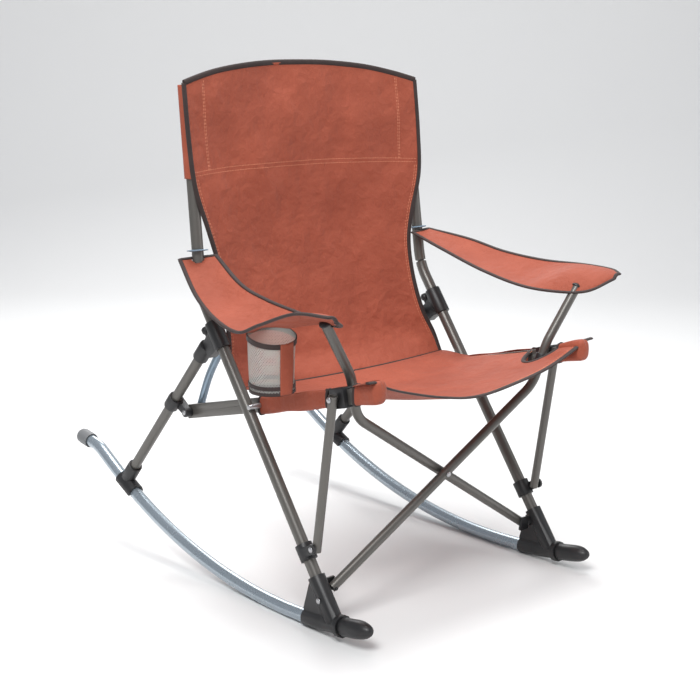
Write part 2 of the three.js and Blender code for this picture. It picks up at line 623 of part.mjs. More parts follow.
function crossRivet(group) {
  const reach = CROSS.diameter + CROSS.split + GAP;
  const half = [[PIN.radius, reach], [PIN.head, reach], [PIN.head, reach + PIN.headHeight / 2],
    [PIN.head * 0.6, reach + PIN.headHeight]];
  const mirrored = half.map(([r, h]) => [r, -h]).reverse();
  const profile = [[0, -reach - 2.4], ...mirrored, ...half, [0, reach + 2.4]];
  addTurned(group, 'cross_rivet', profile, zinc, crossPoint(0, crossMiddle), crossForward);
}

// ---------------------------------------------------------------- soft goods, as plain solids

/** A sheet over a grid of points, with its second face moved by an offset. */
function sheet(columns, rows, pointAt, offset) {
  const corners = [];
  const at = (i, j) => pointAt(i / columns, j / rows);
  const under = (i, j) => at(i, j).add(offset);
  const quad = (a, b, c, d) => corners.push(a, b, c, a.clone(), c.clone(), d);
  for (let i = 0; i < columns; i += 1) {
    for (let j = 0; j < rows; j += 1) {
      quad(at(i, j), at(i + 1, j), at(i + 1, j + 1), at(i, j + 1));
      quad(under(i, j), under(i, j + 1), under(i + 1, j + 1), under(i + 1, j));
    }
    quad(at(i + 1, 0), at(i, 0), under(i, 0), under(i + 1, 0));
    quad(at(i, rows), at(i + 1, rows), under(i + 1, rows), under(i, rows));
  }
  for (let j = 0; j < rows; j += 1) {
    quad(at(0, j), at(0, j + 1), under(0, j + 1), under(0, j));
    quad(at(columns, j + 1), at(columns, j), under(columns, j), under(columns, j + 1));
  }
  const geometry = new THREE.BufferGeometry().setFromPoints(corners);
  geometry.computeVertexNormals();
  return geometry;
}

function seatSling(group) {
  const railFace = HALF_TRACK - SEAT_RAIL.inset - SEAT_RAIL.width / 2;
  const half = railFace - SEAT_SLING.side;
  const front = along(railFront, square(railForward), -SEAT_SLING.overRail);
  const cloth = sheet(8, 4, (u, w) => {
    const across = 2 * u - 1;
    const sag = lerp(SEAT_SLING.sag, SEAT_SLING.rearSag, w) * (1 - across * across);
    return v3(across * half, lerp(front.y, SEAT_SLING.rear.y, w), lerp(front.z, SEAT_SLING.rear.z, w) - sag);
  }, v3(0, 0, -SEAT_SLING.thickness));
  const slots = [-1, 1].map((sign) => {
    const middle = (sign * (POST_SLOT.inner + half + 5)) / 2;
    const across = half + 5 - POST_SLOT.inner;
    return straight(v3(middle, seatHub.y, 0), v3(middle, seatHub.y, UPRIGHT.top),
      section(rectPoints(POST_SLOT.length, across)));
  });
  add(group, 'seat_sling', shaped([cloth], slots), orangeCloth);
}

function backSling(group) {
  const half = HALF_TRACK - UPRIGHT.toeIn - boreFor(MAIN.diameter) - SEAT_SLING.side;
  const { foot, top, bow, waist, thickness } = BACK_SLING;
  const cloth = sheet(8, 5, (u, w) => {
    const across = 2 * u - 1;
    const width = half * lerp(waist, 1, Math.min(1, w * 1.8));
    return v3(across * width, lerp(foot.y, top.y, w) + bow * (1 - across * across), lerp(foot.z, top.z, w));
  }, v3(0, thickness, 0));
  add(group, 'back_sling', cloth, orangeCloth);
}

/** An arm's sheet between its two edges; the one with the cup holder hangs down outside. */
function armRest(group, side, sign) {
  const hang = sign < 0 ? CUP_ARM_DROP : 0;
  const edge = (points, drop) => new THREE.CatmullRomCurve3(points.map(([x, y, z], i) => {
    const share = Math.sin((Math.PI * i) / (points.length - 1)) ** 2;
    return v3(x, y, z - drop * share);
  }));
  const inner = edge(ARM_INNER, 0);
  const outer = edge(ARM_OUTER, hang);
  const cloth = sheet(3, 7, (u, w) => {
    const p = outer.getPoint(1 - w).lerp(inner.getPoint(1 - w), sign > 0 ? 1 - u : u);
    return v3(p.x * sign, p.y, p.z);
  }, v3(0, 0, -ARM_THICKNESS));
  const mouth = v3(sign * CUP.x, CUP.y, CUP.foot);
  const hole = rod(mouth, mouth.clone().setZ(UPRIGHT.top), CUP.footRadius - CUP.wall);
  add(group, `${side}_arm_rest`, hang ? shaped([cloth], [hole]) : cloth, orangeCloth);
}

function cupHolder(group) {
  const { foot, rim, footRadius, rimRadius, wall, base } = CUP;
  const profile = [
    [0, 0], [footRadius, 0], [rimRadius, rim - foot], [rimRadius - wall, rim - foot],
    [footRadius - wall, base], [0, base],
  ];
  addTurned(group, 'cup_holder', profile, meshCloth, v3(-CUP.x, CUP.y, foot), v3(0, 0, 1), 20);
}

// ---------------------------------------------------------------- the chair

const chair = new THREE.Group();
const sides = [{ side: 'right', sign: -1 }, { side: 'left', sign: 1 }];
for (const { side, sign } of sides) {
  const frame = new THREE.Group();
  frame.position.x = sign * HALF_TRACK;
  const inward = -sign;
  rocker(frame, side);
  footBracket(frame, side, inward);
  frontLeg(frame, side, inward);
  rearLeg(frame, side);
  rearSaddle(frame, side);
  backHub(frame, side, inward);
  curvedBrace(frame, side, inward);
  rearCollar(frame, side, inward);
  seatRail(frame, side, inward);
  strutAndSlider(frame, side, inward);
  chair.add(frame);
  footLug(chair, side, sign);
  armPost(chair, side, sign);
  armRest(chair, side, sign);
}
crossRivet(chair);
seatSling(chair);
backSling(chair);
cupHolder(chair);

chair.updateMatrixWorld(true);
const box = new THREE.Box3().setFromObject(chair, true);
const centre = box.getCenter(v3(0, 0, 0));
chair.position.set(-centre.x, -centre.y, -box.min.z);

export default chair;
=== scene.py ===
# %% [markdown]
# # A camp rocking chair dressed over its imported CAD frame
#
# The frame gives every hard piece in metres: +Z up, the sitter faces -Y, the origin on the floor
# under the middle of the chair. This script keeps each piece where the frame has it, gives the
# tubes a round surface, softens the mouldings' edges and makes the cloth: a back, a seat, two
# arms and a cup holder.

import json
import math

import bpy
import numpy as np
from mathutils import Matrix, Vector


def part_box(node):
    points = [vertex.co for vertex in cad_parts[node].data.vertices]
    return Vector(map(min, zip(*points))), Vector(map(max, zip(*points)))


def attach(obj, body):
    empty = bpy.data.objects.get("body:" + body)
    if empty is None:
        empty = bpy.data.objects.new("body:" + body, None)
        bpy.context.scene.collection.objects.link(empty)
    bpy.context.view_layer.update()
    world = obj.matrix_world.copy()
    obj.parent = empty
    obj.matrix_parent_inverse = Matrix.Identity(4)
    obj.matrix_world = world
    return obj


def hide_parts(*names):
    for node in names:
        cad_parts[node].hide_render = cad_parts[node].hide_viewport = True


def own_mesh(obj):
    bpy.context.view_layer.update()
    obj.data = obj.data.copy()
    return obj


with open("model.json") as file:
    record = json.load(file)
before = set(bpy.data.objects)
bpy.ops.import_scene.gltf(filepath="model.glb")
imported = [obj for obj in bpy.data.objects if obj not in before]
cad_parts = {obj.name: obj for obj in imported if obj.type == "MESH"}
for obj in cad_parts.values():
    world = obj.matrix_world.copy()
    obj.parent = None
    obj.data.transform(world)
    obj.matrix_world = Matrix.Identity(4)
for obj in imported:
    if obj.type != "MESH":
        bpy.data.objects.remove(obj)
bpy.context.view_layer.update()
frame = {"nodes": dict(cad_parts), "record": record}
SIDES = {"right": -1, "left": 1}


def centre(node):
    """The middle of a CAD node's box."""
    low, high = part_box(node)
    return (Vector(low) + Vector(high)) / 2


# %% [markdown]
# ## Where things are
#
# The side frames are planar, so their lines are written as (y, z) points behind and above the
# lowest point of the rocker's arc. `LOW_Y` and `LOW_Z` move them into the frame: they come from the
# crossing rivet, whose place in the side plane is known.

# %% Measures of the frame, in metres
TRACK = 0.28  # half the distance between the side frames
CROSS_LEAN = math.radians(7.5)
CROSS_HALF = 0.251
FOOT_PIVOT = (-0.119, 0.076)
BENDS = [(0.214, 0.302, 0.060), (0.237, 0.381, 0.090)]
POST_TIP = (0.303, 0.481)
CROSSING = BENDS[0][1] * CROSS_HALF / (CROSS_HALF + BENDS[0][0])
rivet = centre("cross_rivet")
LOW_Y = rivet.y - (FOOT_PIVOT[0] - CROSSING * math.sin(CROSS_LEAN))
LOW_Z = rivet.z - (FOOT_PIVOT[1] + CROSSING * math.cos(CROSS_LEAN))


def at(x, y, z):
    """A point of the frame from x and a (y, z) place in the side plane."""
    return np.array([x, y + LOW_Y, z + LOW_Z])


LEG_LEAN, UPRIGHT_LEAN, RAIL_SLOPE = (math.radians(a) for a in (35.9, 7.0, 13.9))
UPRIGHT_CORNER, UPRIGHT_TOP, TOE_IN = 0.554, 0.930, 0.008


def leg_y(z):
    """How far back the front leg's middle line is at a height."""
    return -0.083 + (z - 0.146) * math.tan(LEG_LEAN)


def rail_z(y):
    """The height of the seat rail's middle line at a distance back."""
    return 0.3121 + (0.2823 - y) * math.tan(RAIL_SLOPE)


print("side plane starts at", round(LOW_Y, 4), round(LOW_Z, 4))

# %% [markdown]
# ## Surfaces
#
# Every new piece is one of two surfaces: a grid whose points are a function of two parameters, or
# a section carried along a path. Both are worked out as whole numpy arrays, which keeps them fast
# and makes their size easy to change.


# %% Surface builders
def link(name, mesh):
    piece = bpy.data.objects.new(name.replace(" ", "_"), mesh)
    bpy.context.scene.collection.objects.link(piece)
    return piece


def make_mesh(name, points, faces, uv=None):
    """A smooth mesh from an array of points and one of faces, with uv given point by point."""
    mesh = bpy.data.meshes.new(name)
    mesh.from_pydata(points.tolist(), [], faces.tolist())
    mesh.update()
    mesh.polygons.foreach_set("use_smooth", np.ones(len(faces), bool))
    if uv is not None:
        layer = mesh.uv_layers.new(name="cloth")
        corner = np.empty(len(mesh.loops), np.int32)
        mesh.loops.foreach_get("vertex_index", corner)
        layer.data.foreach_set("uv", uv[corner].astype(np.float32).ravel())
    return mesh


def quads(rows, columns, around=False):
    """The corner numbers of each face of a grid of rows x columns points, wrapped if around."""
    steps = columns if around else columns - 1
    i, j = np.meshgrid(np.arange(rows - 1), np.arange(steps), indexing="ij")
    k = (j + 1) % columns
    low, high = i * columns, (i + 1) * columns
    return np.stack([low + j, low + k, high + k, high + j], -1)


def steps_of(points, axis):
    """The distance travelled along one axis of a grid of points."""
    step = np.linalg.norm(np.diff(points, axis=axis), axis=-1)
    zero = np.zeros_like(np.take(step, [0], axis))
    return np.cumsum(np.concatenate([zero, step], axis), axis)


def cloth(name, point_at, rows, columns, keep=None):
    """A sheet: the point at (u, v), with u and v from 0 to 1, for every place of a grid.

    keep(points) says which faces stay, from their middles. The uv is the distance along the cloth
    in metres, so a weave drawn on it has one size everywhere."""
    v, u = np.meshgrid(np.linspace(0, 1, rows), np.linspace(0, 1, columns), indexing="ij")
    points = point_at(u, v)
    faces = quads(rows, columns).reshape(-1, 4)
    flat = points.reshape(-1, 3)
    if keep is not None:
        faces = faces[keep(flat[faces].mean(axis=1))]
    uv = np.stack([steps_of(points, 1), steps_of(points, 0)], -1).reshape(-1, 2)
    used, again = np.unique(faces, return_inverse=True)
    piece = link(name, make_mesh(name, flat[used], again.reshape(-1, 4), uv[used]))
    a, b, c, d = (flat[faces[:, k]] for k in range(4))
    halves = [np.linalg.norm(np.cross(p - a, q - a), axis=1) for p, q in ((b, c), (c, d))]
    area = 0.5 * (halves[0] + halves[1])
    size = (float(steps_of(points, 1)[:, -1].max()), float(steps_of(points, 0)[-1].max()))
    return piece, size, float(area.sum())


def carried(path, section, aside=None, closed=False):
    """A section carried along a path: each path point plus the section's two measures, taken
    along a sideways direction and the one square to it. The ends of an open path stay open."""
    path = np.asarray(path, float)
    ahead = np.roll(path, -1, 0) - np.roll(path, 1, 0) if closed else np.gradient(path, axis=0)
    ahead /= np.linalg.norm(ahead, axis=1, keepdims=True)
    if aside is None:
        aside = np.cross(ahead, [0.0, 0.31, 0.95])
    aside = aside - (aside * ahead).sum(1, keepdims=True) * ahead
    aside /= np.linalg.norm(aside, axis=1, keepdims=True)
    square = np.cross(ahead, aside)
    ring = path[:, None] + section[None, :, :1] * aside[:, None] + section[None, :, 1:] * square[:, None]
    count, around = ring.shape[:2]
    points = ring.reshape(-1, 3)
    faces = quads(count, around, around=True).reshape(-1, 4)
    if closed:
        last = np.arange(around)
        seam = np.stack([(count - 1) * around + last, (count - 1) * around + (last + 1) % around,
                         (last + 1) % around, last], -1)
        faces = np.concatenate([faces, seam])
    return points, faces[:, ::-1]


def oval(wide, thick, count=20):
    """A closed oval section, wide x thick."""
    a = np.linspace(0, 2 * np.pi, count, endpoint=False)
    return np.stack([wide / 2 * np.cos(a), thick / 2 * np.sin(a)], -1)


def band(name, path, wide, thick, aside=None, closed=False):
    """An oval band or cord along a path. An open one has a flat face at each end and no uv."""
    section = oval(wide, thick)
    points, faces = carried(path, section, aside, closed)
    uv = np.stack([points[:, 0] + points[:, 1], points[:, 2]], -1) if closed else None
    piece = link(name, make_mesh(name, points, faces, uv))
    if not closed:
        close_ends(piece, len(section))
    return piece


def close_ends(piece, around):
    """Caps both ends of a carried section with one face each."""
    old = piece.data
    points = np.empty(len(old.vertices) * 3)
    old.vertices.foreach_get("co", points)
    points = points.reshape(-1, 3)
    faces = [list(p.vertices) for p in old.polygons]
    first = list(range(around))
    last = [len(points) - around + k for k in range(around)]
    faces += [first, last[::-1]]
    mesh = bpy.data.meshes.new(old.name)
    mesh.from_pydata(points.tolist(), [], faces)
    mesh.polygons.foreach_set("use_smooth", np.array([True] * (len(faces) - 2) + [False] * 2))
    piece.data = mesh


def through(keys, t):
    """A smooth curve (Catmull-Rom) through key points, at the shares t of the way along."""
    keys = np.asarray(keys, float)
    padded = np.concatenate([2 * keys[:1] - keys[1:2], keys, 2 * keys[-1:] - keys[-2:-1]])
    x = np.clip(np.asarray(t, float), 0, 1) * (len(keys) - 1)
    i = np.minimum(x.astype(int), len(keys) - 2)
    f = (x - i)[..., None]
    a, b, c, d = (padded[i + k] for k in range(4))
    square, cube = (2 * a - 5 * b + 4 * c - d) * f**2, (3 * b - a - 3 * c + d) * f**3
    return 0.5 * (2 * b + (c - a) * f + square + cube)


def ease(x, low, high):
    """0 below low, 1 above high and smooth between."""
    t = np.clip((x - low) / (high - low), 0, 1)
    return t * t * (3 - 2 * t)


# %% [markdown]
# ## Materials
#
# Plain pictures of cloth would fix its scale and need files, so every surface is built from noise
# and waves. Two shared groups do most of it: `weave` gives the height of a plain weave on the
# cloth's own uv, and `grime` gives a soft mask for dust and rubbed places.


# %% Shader groups
class Nodes:
    """A short way to add the nodes of one tree: each call takes links or values by socket."""

    def __init__(self, tree):
        self.tree = tree

    def add(self, kind, links=None, **settings):
        node = self.tree.nodes.new(kind)
        for key, value in settings.items():
            setattr(node, key, value)
        for socket, value in (links or {}).items():
            target = node.inputs[socket]
            if isinstance(value, bpy.types.NodeSocket):
                self.tree.links.new(value, target)
            else:
                target.default_value = value
        return node.outputs

    def math(self, operation, a, b=0.0, clamp=False):
        return self.add("ShaderNodeMath", {0: a, 1: b}, operation=operation, use_clamp=clamp)[0]

    def noise(self, vector, scale, detail=4.0, rough=0.5):
        inputs = {"Vector": vector, "Scale": scale, "Detail": detail, "Roughness": rough}
        return self.add("ShaderNodeTexNoise", inputs)["Fac"]


def new_group(name, inputs, outputs):
    group = bpy.data.node_groups.new(name, "ShaderNodeTree")
    for label, kind in inputs:
        group.interface.new_socket(label, in_out="INPUT", socket_type=kind)
    for label, kind in outputs:
        group.interface.new_socket(label, in_out="OUTPUT", socket_type=kind)
    return group, group.nodes.new("NodeGroupInput").outputs, group.nodes.new("NodeGroupOutput").inputs


def weave_group():
    """Height of a plain weave: two sets of ridges that take turns on top."""
    group, given, out = new_group(
        "weave", [("Vector", "NodeSocketVector"), ("Threads", "NodeSocketFloat")],
        [("Height", "NodeSocketFloat"), ("Slub", "NodeSocketFloat")])
    n = Nodes(group)
    inputs = {0: given["Vector"], "Scale": given["Threads"]}
    scaled = n.add("ShaderNodeVectorMath", inputs, operation="SCALE")[0]
    part = n.add("ShaderNodeSeparateXYZ", {0: scaled})
    across = n.math("ABSOLUTE", n.math("SINE", n.math("MULTIPLY", part["X"], math.pi)))
    along = n.math("ABSOLUTE", n.math("SINE", n.math("MULTIPLY", part["Y"], math.pi)))
    turn = n.math("ADD", n.math("FLOOR", part["X"]), n.math("FLOOR", part["Y"]))
    odd = n.math("PINGPONG", turn, 1.0)
    mixed = n.add("ShaderNodeMix", {0: odd, 2: across, 3: along})[0]
    group.links.new(mixed, out["Height"])
    group.links.new(n.noise(given["Vector"], 900.0, 2.0), out["Slub"])
    return group


def grime_group():
    """A soft mask of dust and rubbing, in patches, from the piece's own place."""
    group, given, out = new_group(
        "grime", [("Amount", "NodeSocketFloat"), ("Scale", "NodeSocketFloat")],
        [("Mask", "NodeSocketFloat")])
    n = Nodes(group)
    place = n.add("ShaderNodeTexCoord")["Object"]
    broad = n.noise(place, given["Scale"], 5.0, 0.6)
    fine = n.noise(place, 260.0, 3.0, 0.6)
    both = n.math("MULTIPLY", n.math("SUBTRACT", broad, 0.42, clamp=True), fine)
    group.links.new(n.math("MULTIPLY", both, given["Amount"], clamp=True), out["Mask"])
    return group


WEAVE = weave_group()
GRIME = grime_group()


def principled(name):
    """A new material with its tree's helper, its shader and its output."""
    material = bpy.data.materials.new(name)
    material.use_nodes = True
    tree = material.node_tree
    tree.nodes.clear()
    n = Nodes(tree)
    shader = tree.nodes.new("ShaderNodeBsdfPrincipled")
    output = tree.nodes.new("ShaderNodeOutputMaterial")
    tree.links.new(shader.outputs[0], output.inputs[0])
    return material, n, shader, output


def hard_material(name, color, roughness, metallic, coat=0.0, dust=0.5, grain=0.0):
    """Paint, plastic or metal: one colour, with dust, rubbed patches and a faint grain."""
    material, n, shader, _ = principled(name)
    mask = n.add("ShaderNodeGroup", {}, node_tree=GRIME)
    group = mask[0].node
    group.inputs["Amount"].default_value = dust
    group.inputs["Scale"].default_value = 14.0
    pale = tuple(0.62 * c + 0.38 * 0.32 for c in color)
    tint = n.add("ShaderNodeMix", {0: mask["Mask"], 6: (*color, 1), 7: (*pale, 1)}, data_type="RGBA")[2]
    place = n.add("ShaderNodeTexCoord")["Object"]
    speck = n.noise(place, 1500.0, 2.0)
    total = n.math("ADD", n.math("MULTIPLY", mask["Mask"], 0.35), roughness, clamp=True)
    bump = n.add("ShaderNodeBump", {"Height": speck, "Strength": 0.02 + grain, "Distance": 0.0002})[0]
    tree = material.node_tree
    tree.links.new(tint, shader.inputs["Base Color"])
    tree.links.new(total, shader.inputs["Roughness"])
    tree.links.new(bump, shader.inputs["Normal"])
    shader.inputs["Metallic"].default_value = metallic
    shader.inputs["Coat Weight"].default_value = coat
    shader.inputs["Coat Roughness"].default_value = 0.18
    return material


def cloth_material(name, color, shade, threads=1500.0, crumple=0.5, sheen=0.25):
    """Coated polyester: a fine weave, soft crumples, painted shade darkening the folds and paler where
    rubbed.
    """
    material, n, shader, _ = principled(name)
    uv = n.add("ShaderNodeUVMap", uv_map="cloth")[0]
    place = n.add("ShaderNodeTexCoord")["Object"]
    woven = n.add("ShaderNodeGroup", {}, node_tree=WEAVE)
    group = woven[0].node
    material.node_tree.links.new(uv, group.inputs["Vector"])
    group.inputs["Threads"].default_value = threads
    folds = n.noise(place, 9.0, 3.0, 0.55)
    creases = n.noise(place, 15.0, 4.0, 0.6)
    sharp = n.math("ABSOLUTE", n.math("SUBTRACT", creases, 0.5))
    # Painted shade: where the fold noise is low, the same noise that lowers the bump, the colour turns to
    # the shade colour.
    fold_shaded_colour = n.add("ShaderNodeMix", {0: folds, 6: (*shade, 1), 7: (*color, 1)}, data_type="RGBA")[2]
    thread = n.math("MULTIPLY_ADD", woven["Height"], 0.22)
    thread.node.inputs[2].default_value = 0.84
    tinted = n.add("ShaderNodeVectorMath", {0: fold_shaded_colour, "Scale": thread}, operation="SCALE")[0]
    grime = n.add("ShaderNodeGroup", {}, node_tree=GRIME)
    worn = grime[0].node
    worn.inputs["Amount"].default_value = 0.5
    worn.inputs["Scale"].default_value = 18.0
    pale = tuple(min(1.0, c * 1.25 + 0.06) for c in color)
    final = n.add("ShaderNodeMix", {0: grime["Mask"], 6: tinted, 7: (*pale, 1)}, data_type="RGBA")[2]
    height = n.math("ADD", folds, n.math("MULTIPLY", sharp, -0.7))
    broad = n.add("ShaderNodeBump", {"Height": height, "Strength": crumple, "Distance": 0.012})[0]
    fine = n.add("ShaderNodeBump", {"Height": woven["Height"], "Strength": 0.35,
                                    "Distance": 0.0003, "Normal": broad})[0]
    tree = material.node_tree
    tree.links.new(final, shader.inputs["Base Color"])
    tree.links.new(fine, shader.inputs["Normal"])
    shader.inputs["Roughness"].default_value = 0.72
    shader.inputs["Sheen Weight"].default_value = sheen
    shader.inputs["Sheen Roughness"].default_value = 0.4
    return material


NET_RATE, NET_CUT = 620.0, 0.88  # threads' spacing in radians per metre, and how thin they are


def mesh_material(name, color):
    """Open diamond netting: threads where either of two slanting waves is near its crest."""
    material, n, shader, output = principled(name)
    uv = n.add("ShaderNodeUVMap", uv_map="cloth")[0]
    part = n.add("ShaderNodeSeparateXYZ", {0: uv})
    rise, fall = (n.math(op, part["X"], part["Y"]) for op in ("ADD", "SUBTRACT"))
    turns = [n.math("MULTIPLY", way, NET_RATE) for way in (rise, fall)]
    crest = n.math("MAXIMUM", *(n.math("ABSOLUTE", n.math("SINE", turn)) for turn in turns))
    thread = n.math("GREATER_THAN", crest, NET_CUT)
    clear = n.add("ShaderNodeBsdfTransparent")[0]
    tree = material.node_tree
    mixed = n.add("ShaderNodeMixShader", {0: thread, 1: clear, 2: shader.outputs[0]})[0]
    tree.links.new(mixed, output.inputs[0])
    bump = n.add("ShaderNodeBump", {"Height": crest, "Strength": 0.6, "Distance": 0.0006})[0]
    tree.links.new(bump, shader.inputs["Normal"])
    shader.inputs["Base Color"].default_value = (*color, 1)
    shader.inputs["Roughness"].default_value = 0.55
    return material


# %% The materials
look = {
    "rail_paint": hard_material("silver-blue paint", (0.36, 0.42, 0.47), 0.26, 0.75, coat=0.5),
    "frame_paint": hard_material("grey-brown powder coat", (0.115, 0.108, 0.098), 0.38, 0.45,
                                 coat=0.2, grain=0.1),
    "brace_paint": hard_material("blue-grey paint", (0.24, 0.32, 0.40), 0.3, 0.6, coat=0.4),
    "moulding": hard_material("black moulding", (0.012, 0.012, 0.013), 0.42, 0.0,
                              grain=0.08, dust=0.35),
    "zinc": hard_material("zinc fixings", (0.42, 0.42, 0.43), 0.33, 0.9),
    "blue_plastic": hard_material("blue-grey plastic", (0.13, 0.19, 0.25), 0.45, 0.0),
    "grey_plastic": hard_material("grey plastic", (0.16, 0.165, 0.17), 0.5, 0.0),
    # Each cloth's second colour is painted shade, laid into its folds.
    "orange_cloth": cloth_material("rust cloth", (0.37, 0.075, 0.033), (0.25, 0.046, 0.020),
                                   crumple=1.0, sheen=0.08),
    "binding": cloth_material("dark binding", (0.035, 0.018, 0.015), (0.02, 0.011, 0.01),
                              900.0, 0.1, 0.1),
    "thread": hard_material("orange thread", (0.75, 0.30, 0.17), 0.7, 0.0, dust=0.0),
    "mesh_cloth": mesh_material("silver netting", (0.46, 0.45, 0.42)),
}
print(len(look), "materials")


def dress(piece, material, body, replaces=()):
    """Gives a piece its material and its body, and hides the CAD nodes it stands for."""
    piece.data.materials.clear()
    piece.data.materials.append(look[material])
    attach(piece, body)
    if replaces:
        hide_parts(*replaces)
    return piece


# %% [markdown]
# ## Round tubes
#
# The CAD tubes have twelve flats. They could be smoothed, but a flat still shows on the outline,
# so each visible tube is carried again along the same route with a round section, standing where
# its CAD node stands.


# %% Tubes
def rounded(corners, radii, step=0.004):
    """A path through corner points with each inner corner turned into an arc of its radius."""
    corners = [np.asarray(c, float) for c in corners]
    path = [corners[0]]
    for before, corner, after, radius in zip(corners, corners[1:], corners[2:], radii):
        a = (corner - before) / np.linalg.norm(corner - before)
        b = (after - corner) / np.linalg.norm(after - corner)
        turn = math.acos(float(np.clip(a @ b, -1, 1)))
        inward = (b - a * (a @ b)) / math.sin(turn)
        start = corner - a * radius * math.tan(turn / 2)
        for angle in np.linspace(0, turn, max(4, int(radius * turn / step))):
            path.append(start + a * radius * math.sin(angle) + inward * radius * (1 - math.cos(angle)))
    path.append(corners[-1])
    return np.array(path)


def tube(name, path, diameter, wall, material, body, node, around=40):
    """A hollow round tube: its outer skin, both rims and its inner skin as one closed surface."""
    path = np.asarray(path)
    a = np.linspace(0, 2 * np.pi, around, endpoint=False)
    circle = np.stack([np.cos(a), np.sin(a)], -1)
    skin, faces = carried(path, circle * diameter / 2)
    lining, inner = carried(path, circle * (diameter / 2 - wall))
    count = len(skin)
    k = np.arange(around)
    nxt = (k + 1) % around
    last = count - around
    rims = [np.stack([k, nxt, nxt + count, k + count], -1),
            np.stack([last + nxt, last + k, last + k + count, last + nxt + count], -1)]
    faces = np.concatenate([faces, inner[:, ::-1] + count, *rims])
    mesh = make_mesh(name, np.concatenate([skin, lining]), faces)
    piece = link(name, mesh)
    smooth_by_angle(piece)
    return dress(piece, material, body, replaces=[node])


def smooth_by_angle(piece, degrees=40):
    """Marks edges sharper than an angle, so that flat faces stay flat under smooth shading."""
    piece.data.set_sharp_from_angle(angle=math.radians(degrees))


def rocker_path():
    """The rocker: an arc about a point above it, then a straight run bent up to the tail."""
    radius, start, end = 1.14, -10.5, 28.5
    angle = np.radians(np.linspace(start, end, 90))
    arc = np.stack([radius * np.sin(angle), radius * (1 - np.cos(angle)) + 0.0125], -1)
    last, heading = arc[-1], math.radians(end)
    knee = last + 0.060 * np.array([math.cos(heading), math.sin(heading)])
    tip = knee + 0.058 * np.array([math.cos(math.radians(8)), math.sin(math.radians(8))])
    tail = rounded([(0, *last), (0, *knee), (0, *tip)], [0.09])[1:]
    return np.concatenate([np.insert(arc, 0, 0, axis=1), tail])


def in_frame(path, x):
    """A path of the side plane moved to its place in the frame, a distance x from the middle."""
    return np.asarray(path) + at(x, 0, 0)


def cross_point(x, s, n):
    """A point of the crossed tubes' plane: s up it from the foot pivots, n in front of it."""
    y, z = FOOT_PIVOT
    sine, cosine = math.sin(CROSS_LEAN), math.cos(CROSS_LEAN)
    return at(x, y - sine * s - cosine * n, z + cosine * s - sine * n)


RAIL_D, LEG_D, REAR_D, STRUT_D, BRACE_D, POST_D = 0.025, 0.022, 0.020, 0.016, 0.015, 0.0175
THICK_WALL, REAR_WALL, THIN_WALL = 0.0015, 0.0014, 0.0012
LEG_FOOT, LEG_BEND = 0.046, 0.12  # the front leg's lowest height, and its bend's radius
SLIDER_Z, SLIDER_AHEAD, STRUT_FOOT_Z = 0.135, 0.029, 0.150
TUBE_OVER, BRACE_DROP, BRACE_OVER, POST_OVER = 0.006, 0.002, 0.007, 0.003  # how far ends run past
BRACE_INSET, BRACE_BOW = 0.04, 0.009
HALF_GAP = 0.0005  # half the space between the crossed tubes
REAR_TOP, REAR_FOOT = np.array([0, 0.200, 0.452]), np.array([0, 0.478, 0.146])
SEAT_PIVOT, SEAT_HUB = np.array([0, 0.2823, 0.3121]), np.array([0, -0.1633, 0.4224])
down = (REAR_FOOT - REAR_TOP) / np.linalg.norm(REAR_FOOT - REAR_TOP)
slider = np.array([0, leg_y(SLIDER_Z) - SLIDER_AHEAD, STRUT_FOOT_Z])
up = (SEAT_HUB - slider) / np.linalg.norm(SEAT_HUB - slider)
brace_top = REAR_TOP + down * BRACE_DROP
reach = np.linalg.norm(SEAT_PIVOT - brace_top)
chord = (SEAT_PIVOT - brace_top) / reach
aside = np.array([0, -chord[2], chord[1]])
brace = rounded([brace_top - chord * BRACE_OVER, (brace_top + SEAT_PIVOT) / 2 + aside * BRACE_BOW,
                 SEAT_PIVOT + chord * BRACE_OVER], [reach**2 / (10 * BRACE_BOW)])
top_y = leg_y(UPRIGHT_CORNER) + (UPRIGHT_TOP - UPRIGHT_CORNER) * math.tan(UPRIGHT_LEAN)
for side, sign in SIDES.items():
    body, x = f"{side}_frame", sign * TRACK
    leg = rounded([(0, leg_y(LEG_FOOT), LEG_FOOT), (0, leg_y(UPRIGHT_CORNER), UPRIGHT_CORNER),
                   (-sign * TOE_IN, top_y, UPRIGHT_TOP)], [LEG_BEND])
    rear = np.linspace(REAR_TOP + down * TUBE_OVER, REAR_FOOT, 8)
    strut = np.linspace(slider - up * TUBE_OVER, SEAT_HUB + up * TUBE_OVER, 8)
    tube(f"{side} rocker", in_frame(rocker_path(), x), RAIL_D, THICK_WALL, "rail_paint", body,
         f"{side}_rocker_rail")
    tube(f"{side} leg and upright", in_frame(leg, x), LEG_D, THICK_WALL, "frame_paint", body,
         f"{side}_main_tube")
    tube(f"{side} back leg", in_frame(rear, x), REAR_D, REAR_WALL, "frame_paint", body, f"{side}_rear_leg")
    tube(f"{side} strut tube", in_frame(strut, x), STRUT_D, THIN_WALL, "frame_paint", f"{side}_strut",
         f"{side}_strut")
    tube(f"{side} curved tube", in_frame(brace, x - sign * BRACE_INSET), BRACE_D, THIN_WALL, "brace_paint",
         body, f"{side}_curved_brace")
    layer = sign * (POST_D / 2 + HALF_GAP)
    points = [cross_point(-sign * CROSS_HALF, 0, layer)]
    points += [cross_point(sign * bx, s, layer) for bx, s in (BENDS[0][:2], BENDS[1][:2], POST_TIP)]
    first = (points[1] - points[0]) / np.linalg.norm(points[1] - points[0])
    points[0] = points[0] - first * POST_OVER
    tube(f"{side} arm post", rounded(points, [b[2] for b in BENDS]), POST_D, THIN_WALL, "frame_paint",
         f"{side}_post", f"{side}_post_tube")
print("round tubes made")

# %% [markdown]
# ## Seat rails, mouldings and fixings
#
# These have the right shape already. A copy of each gets a small rounded edge, as a moulded or
# pressed piece has, and smooth shading across the facets of its round parts.

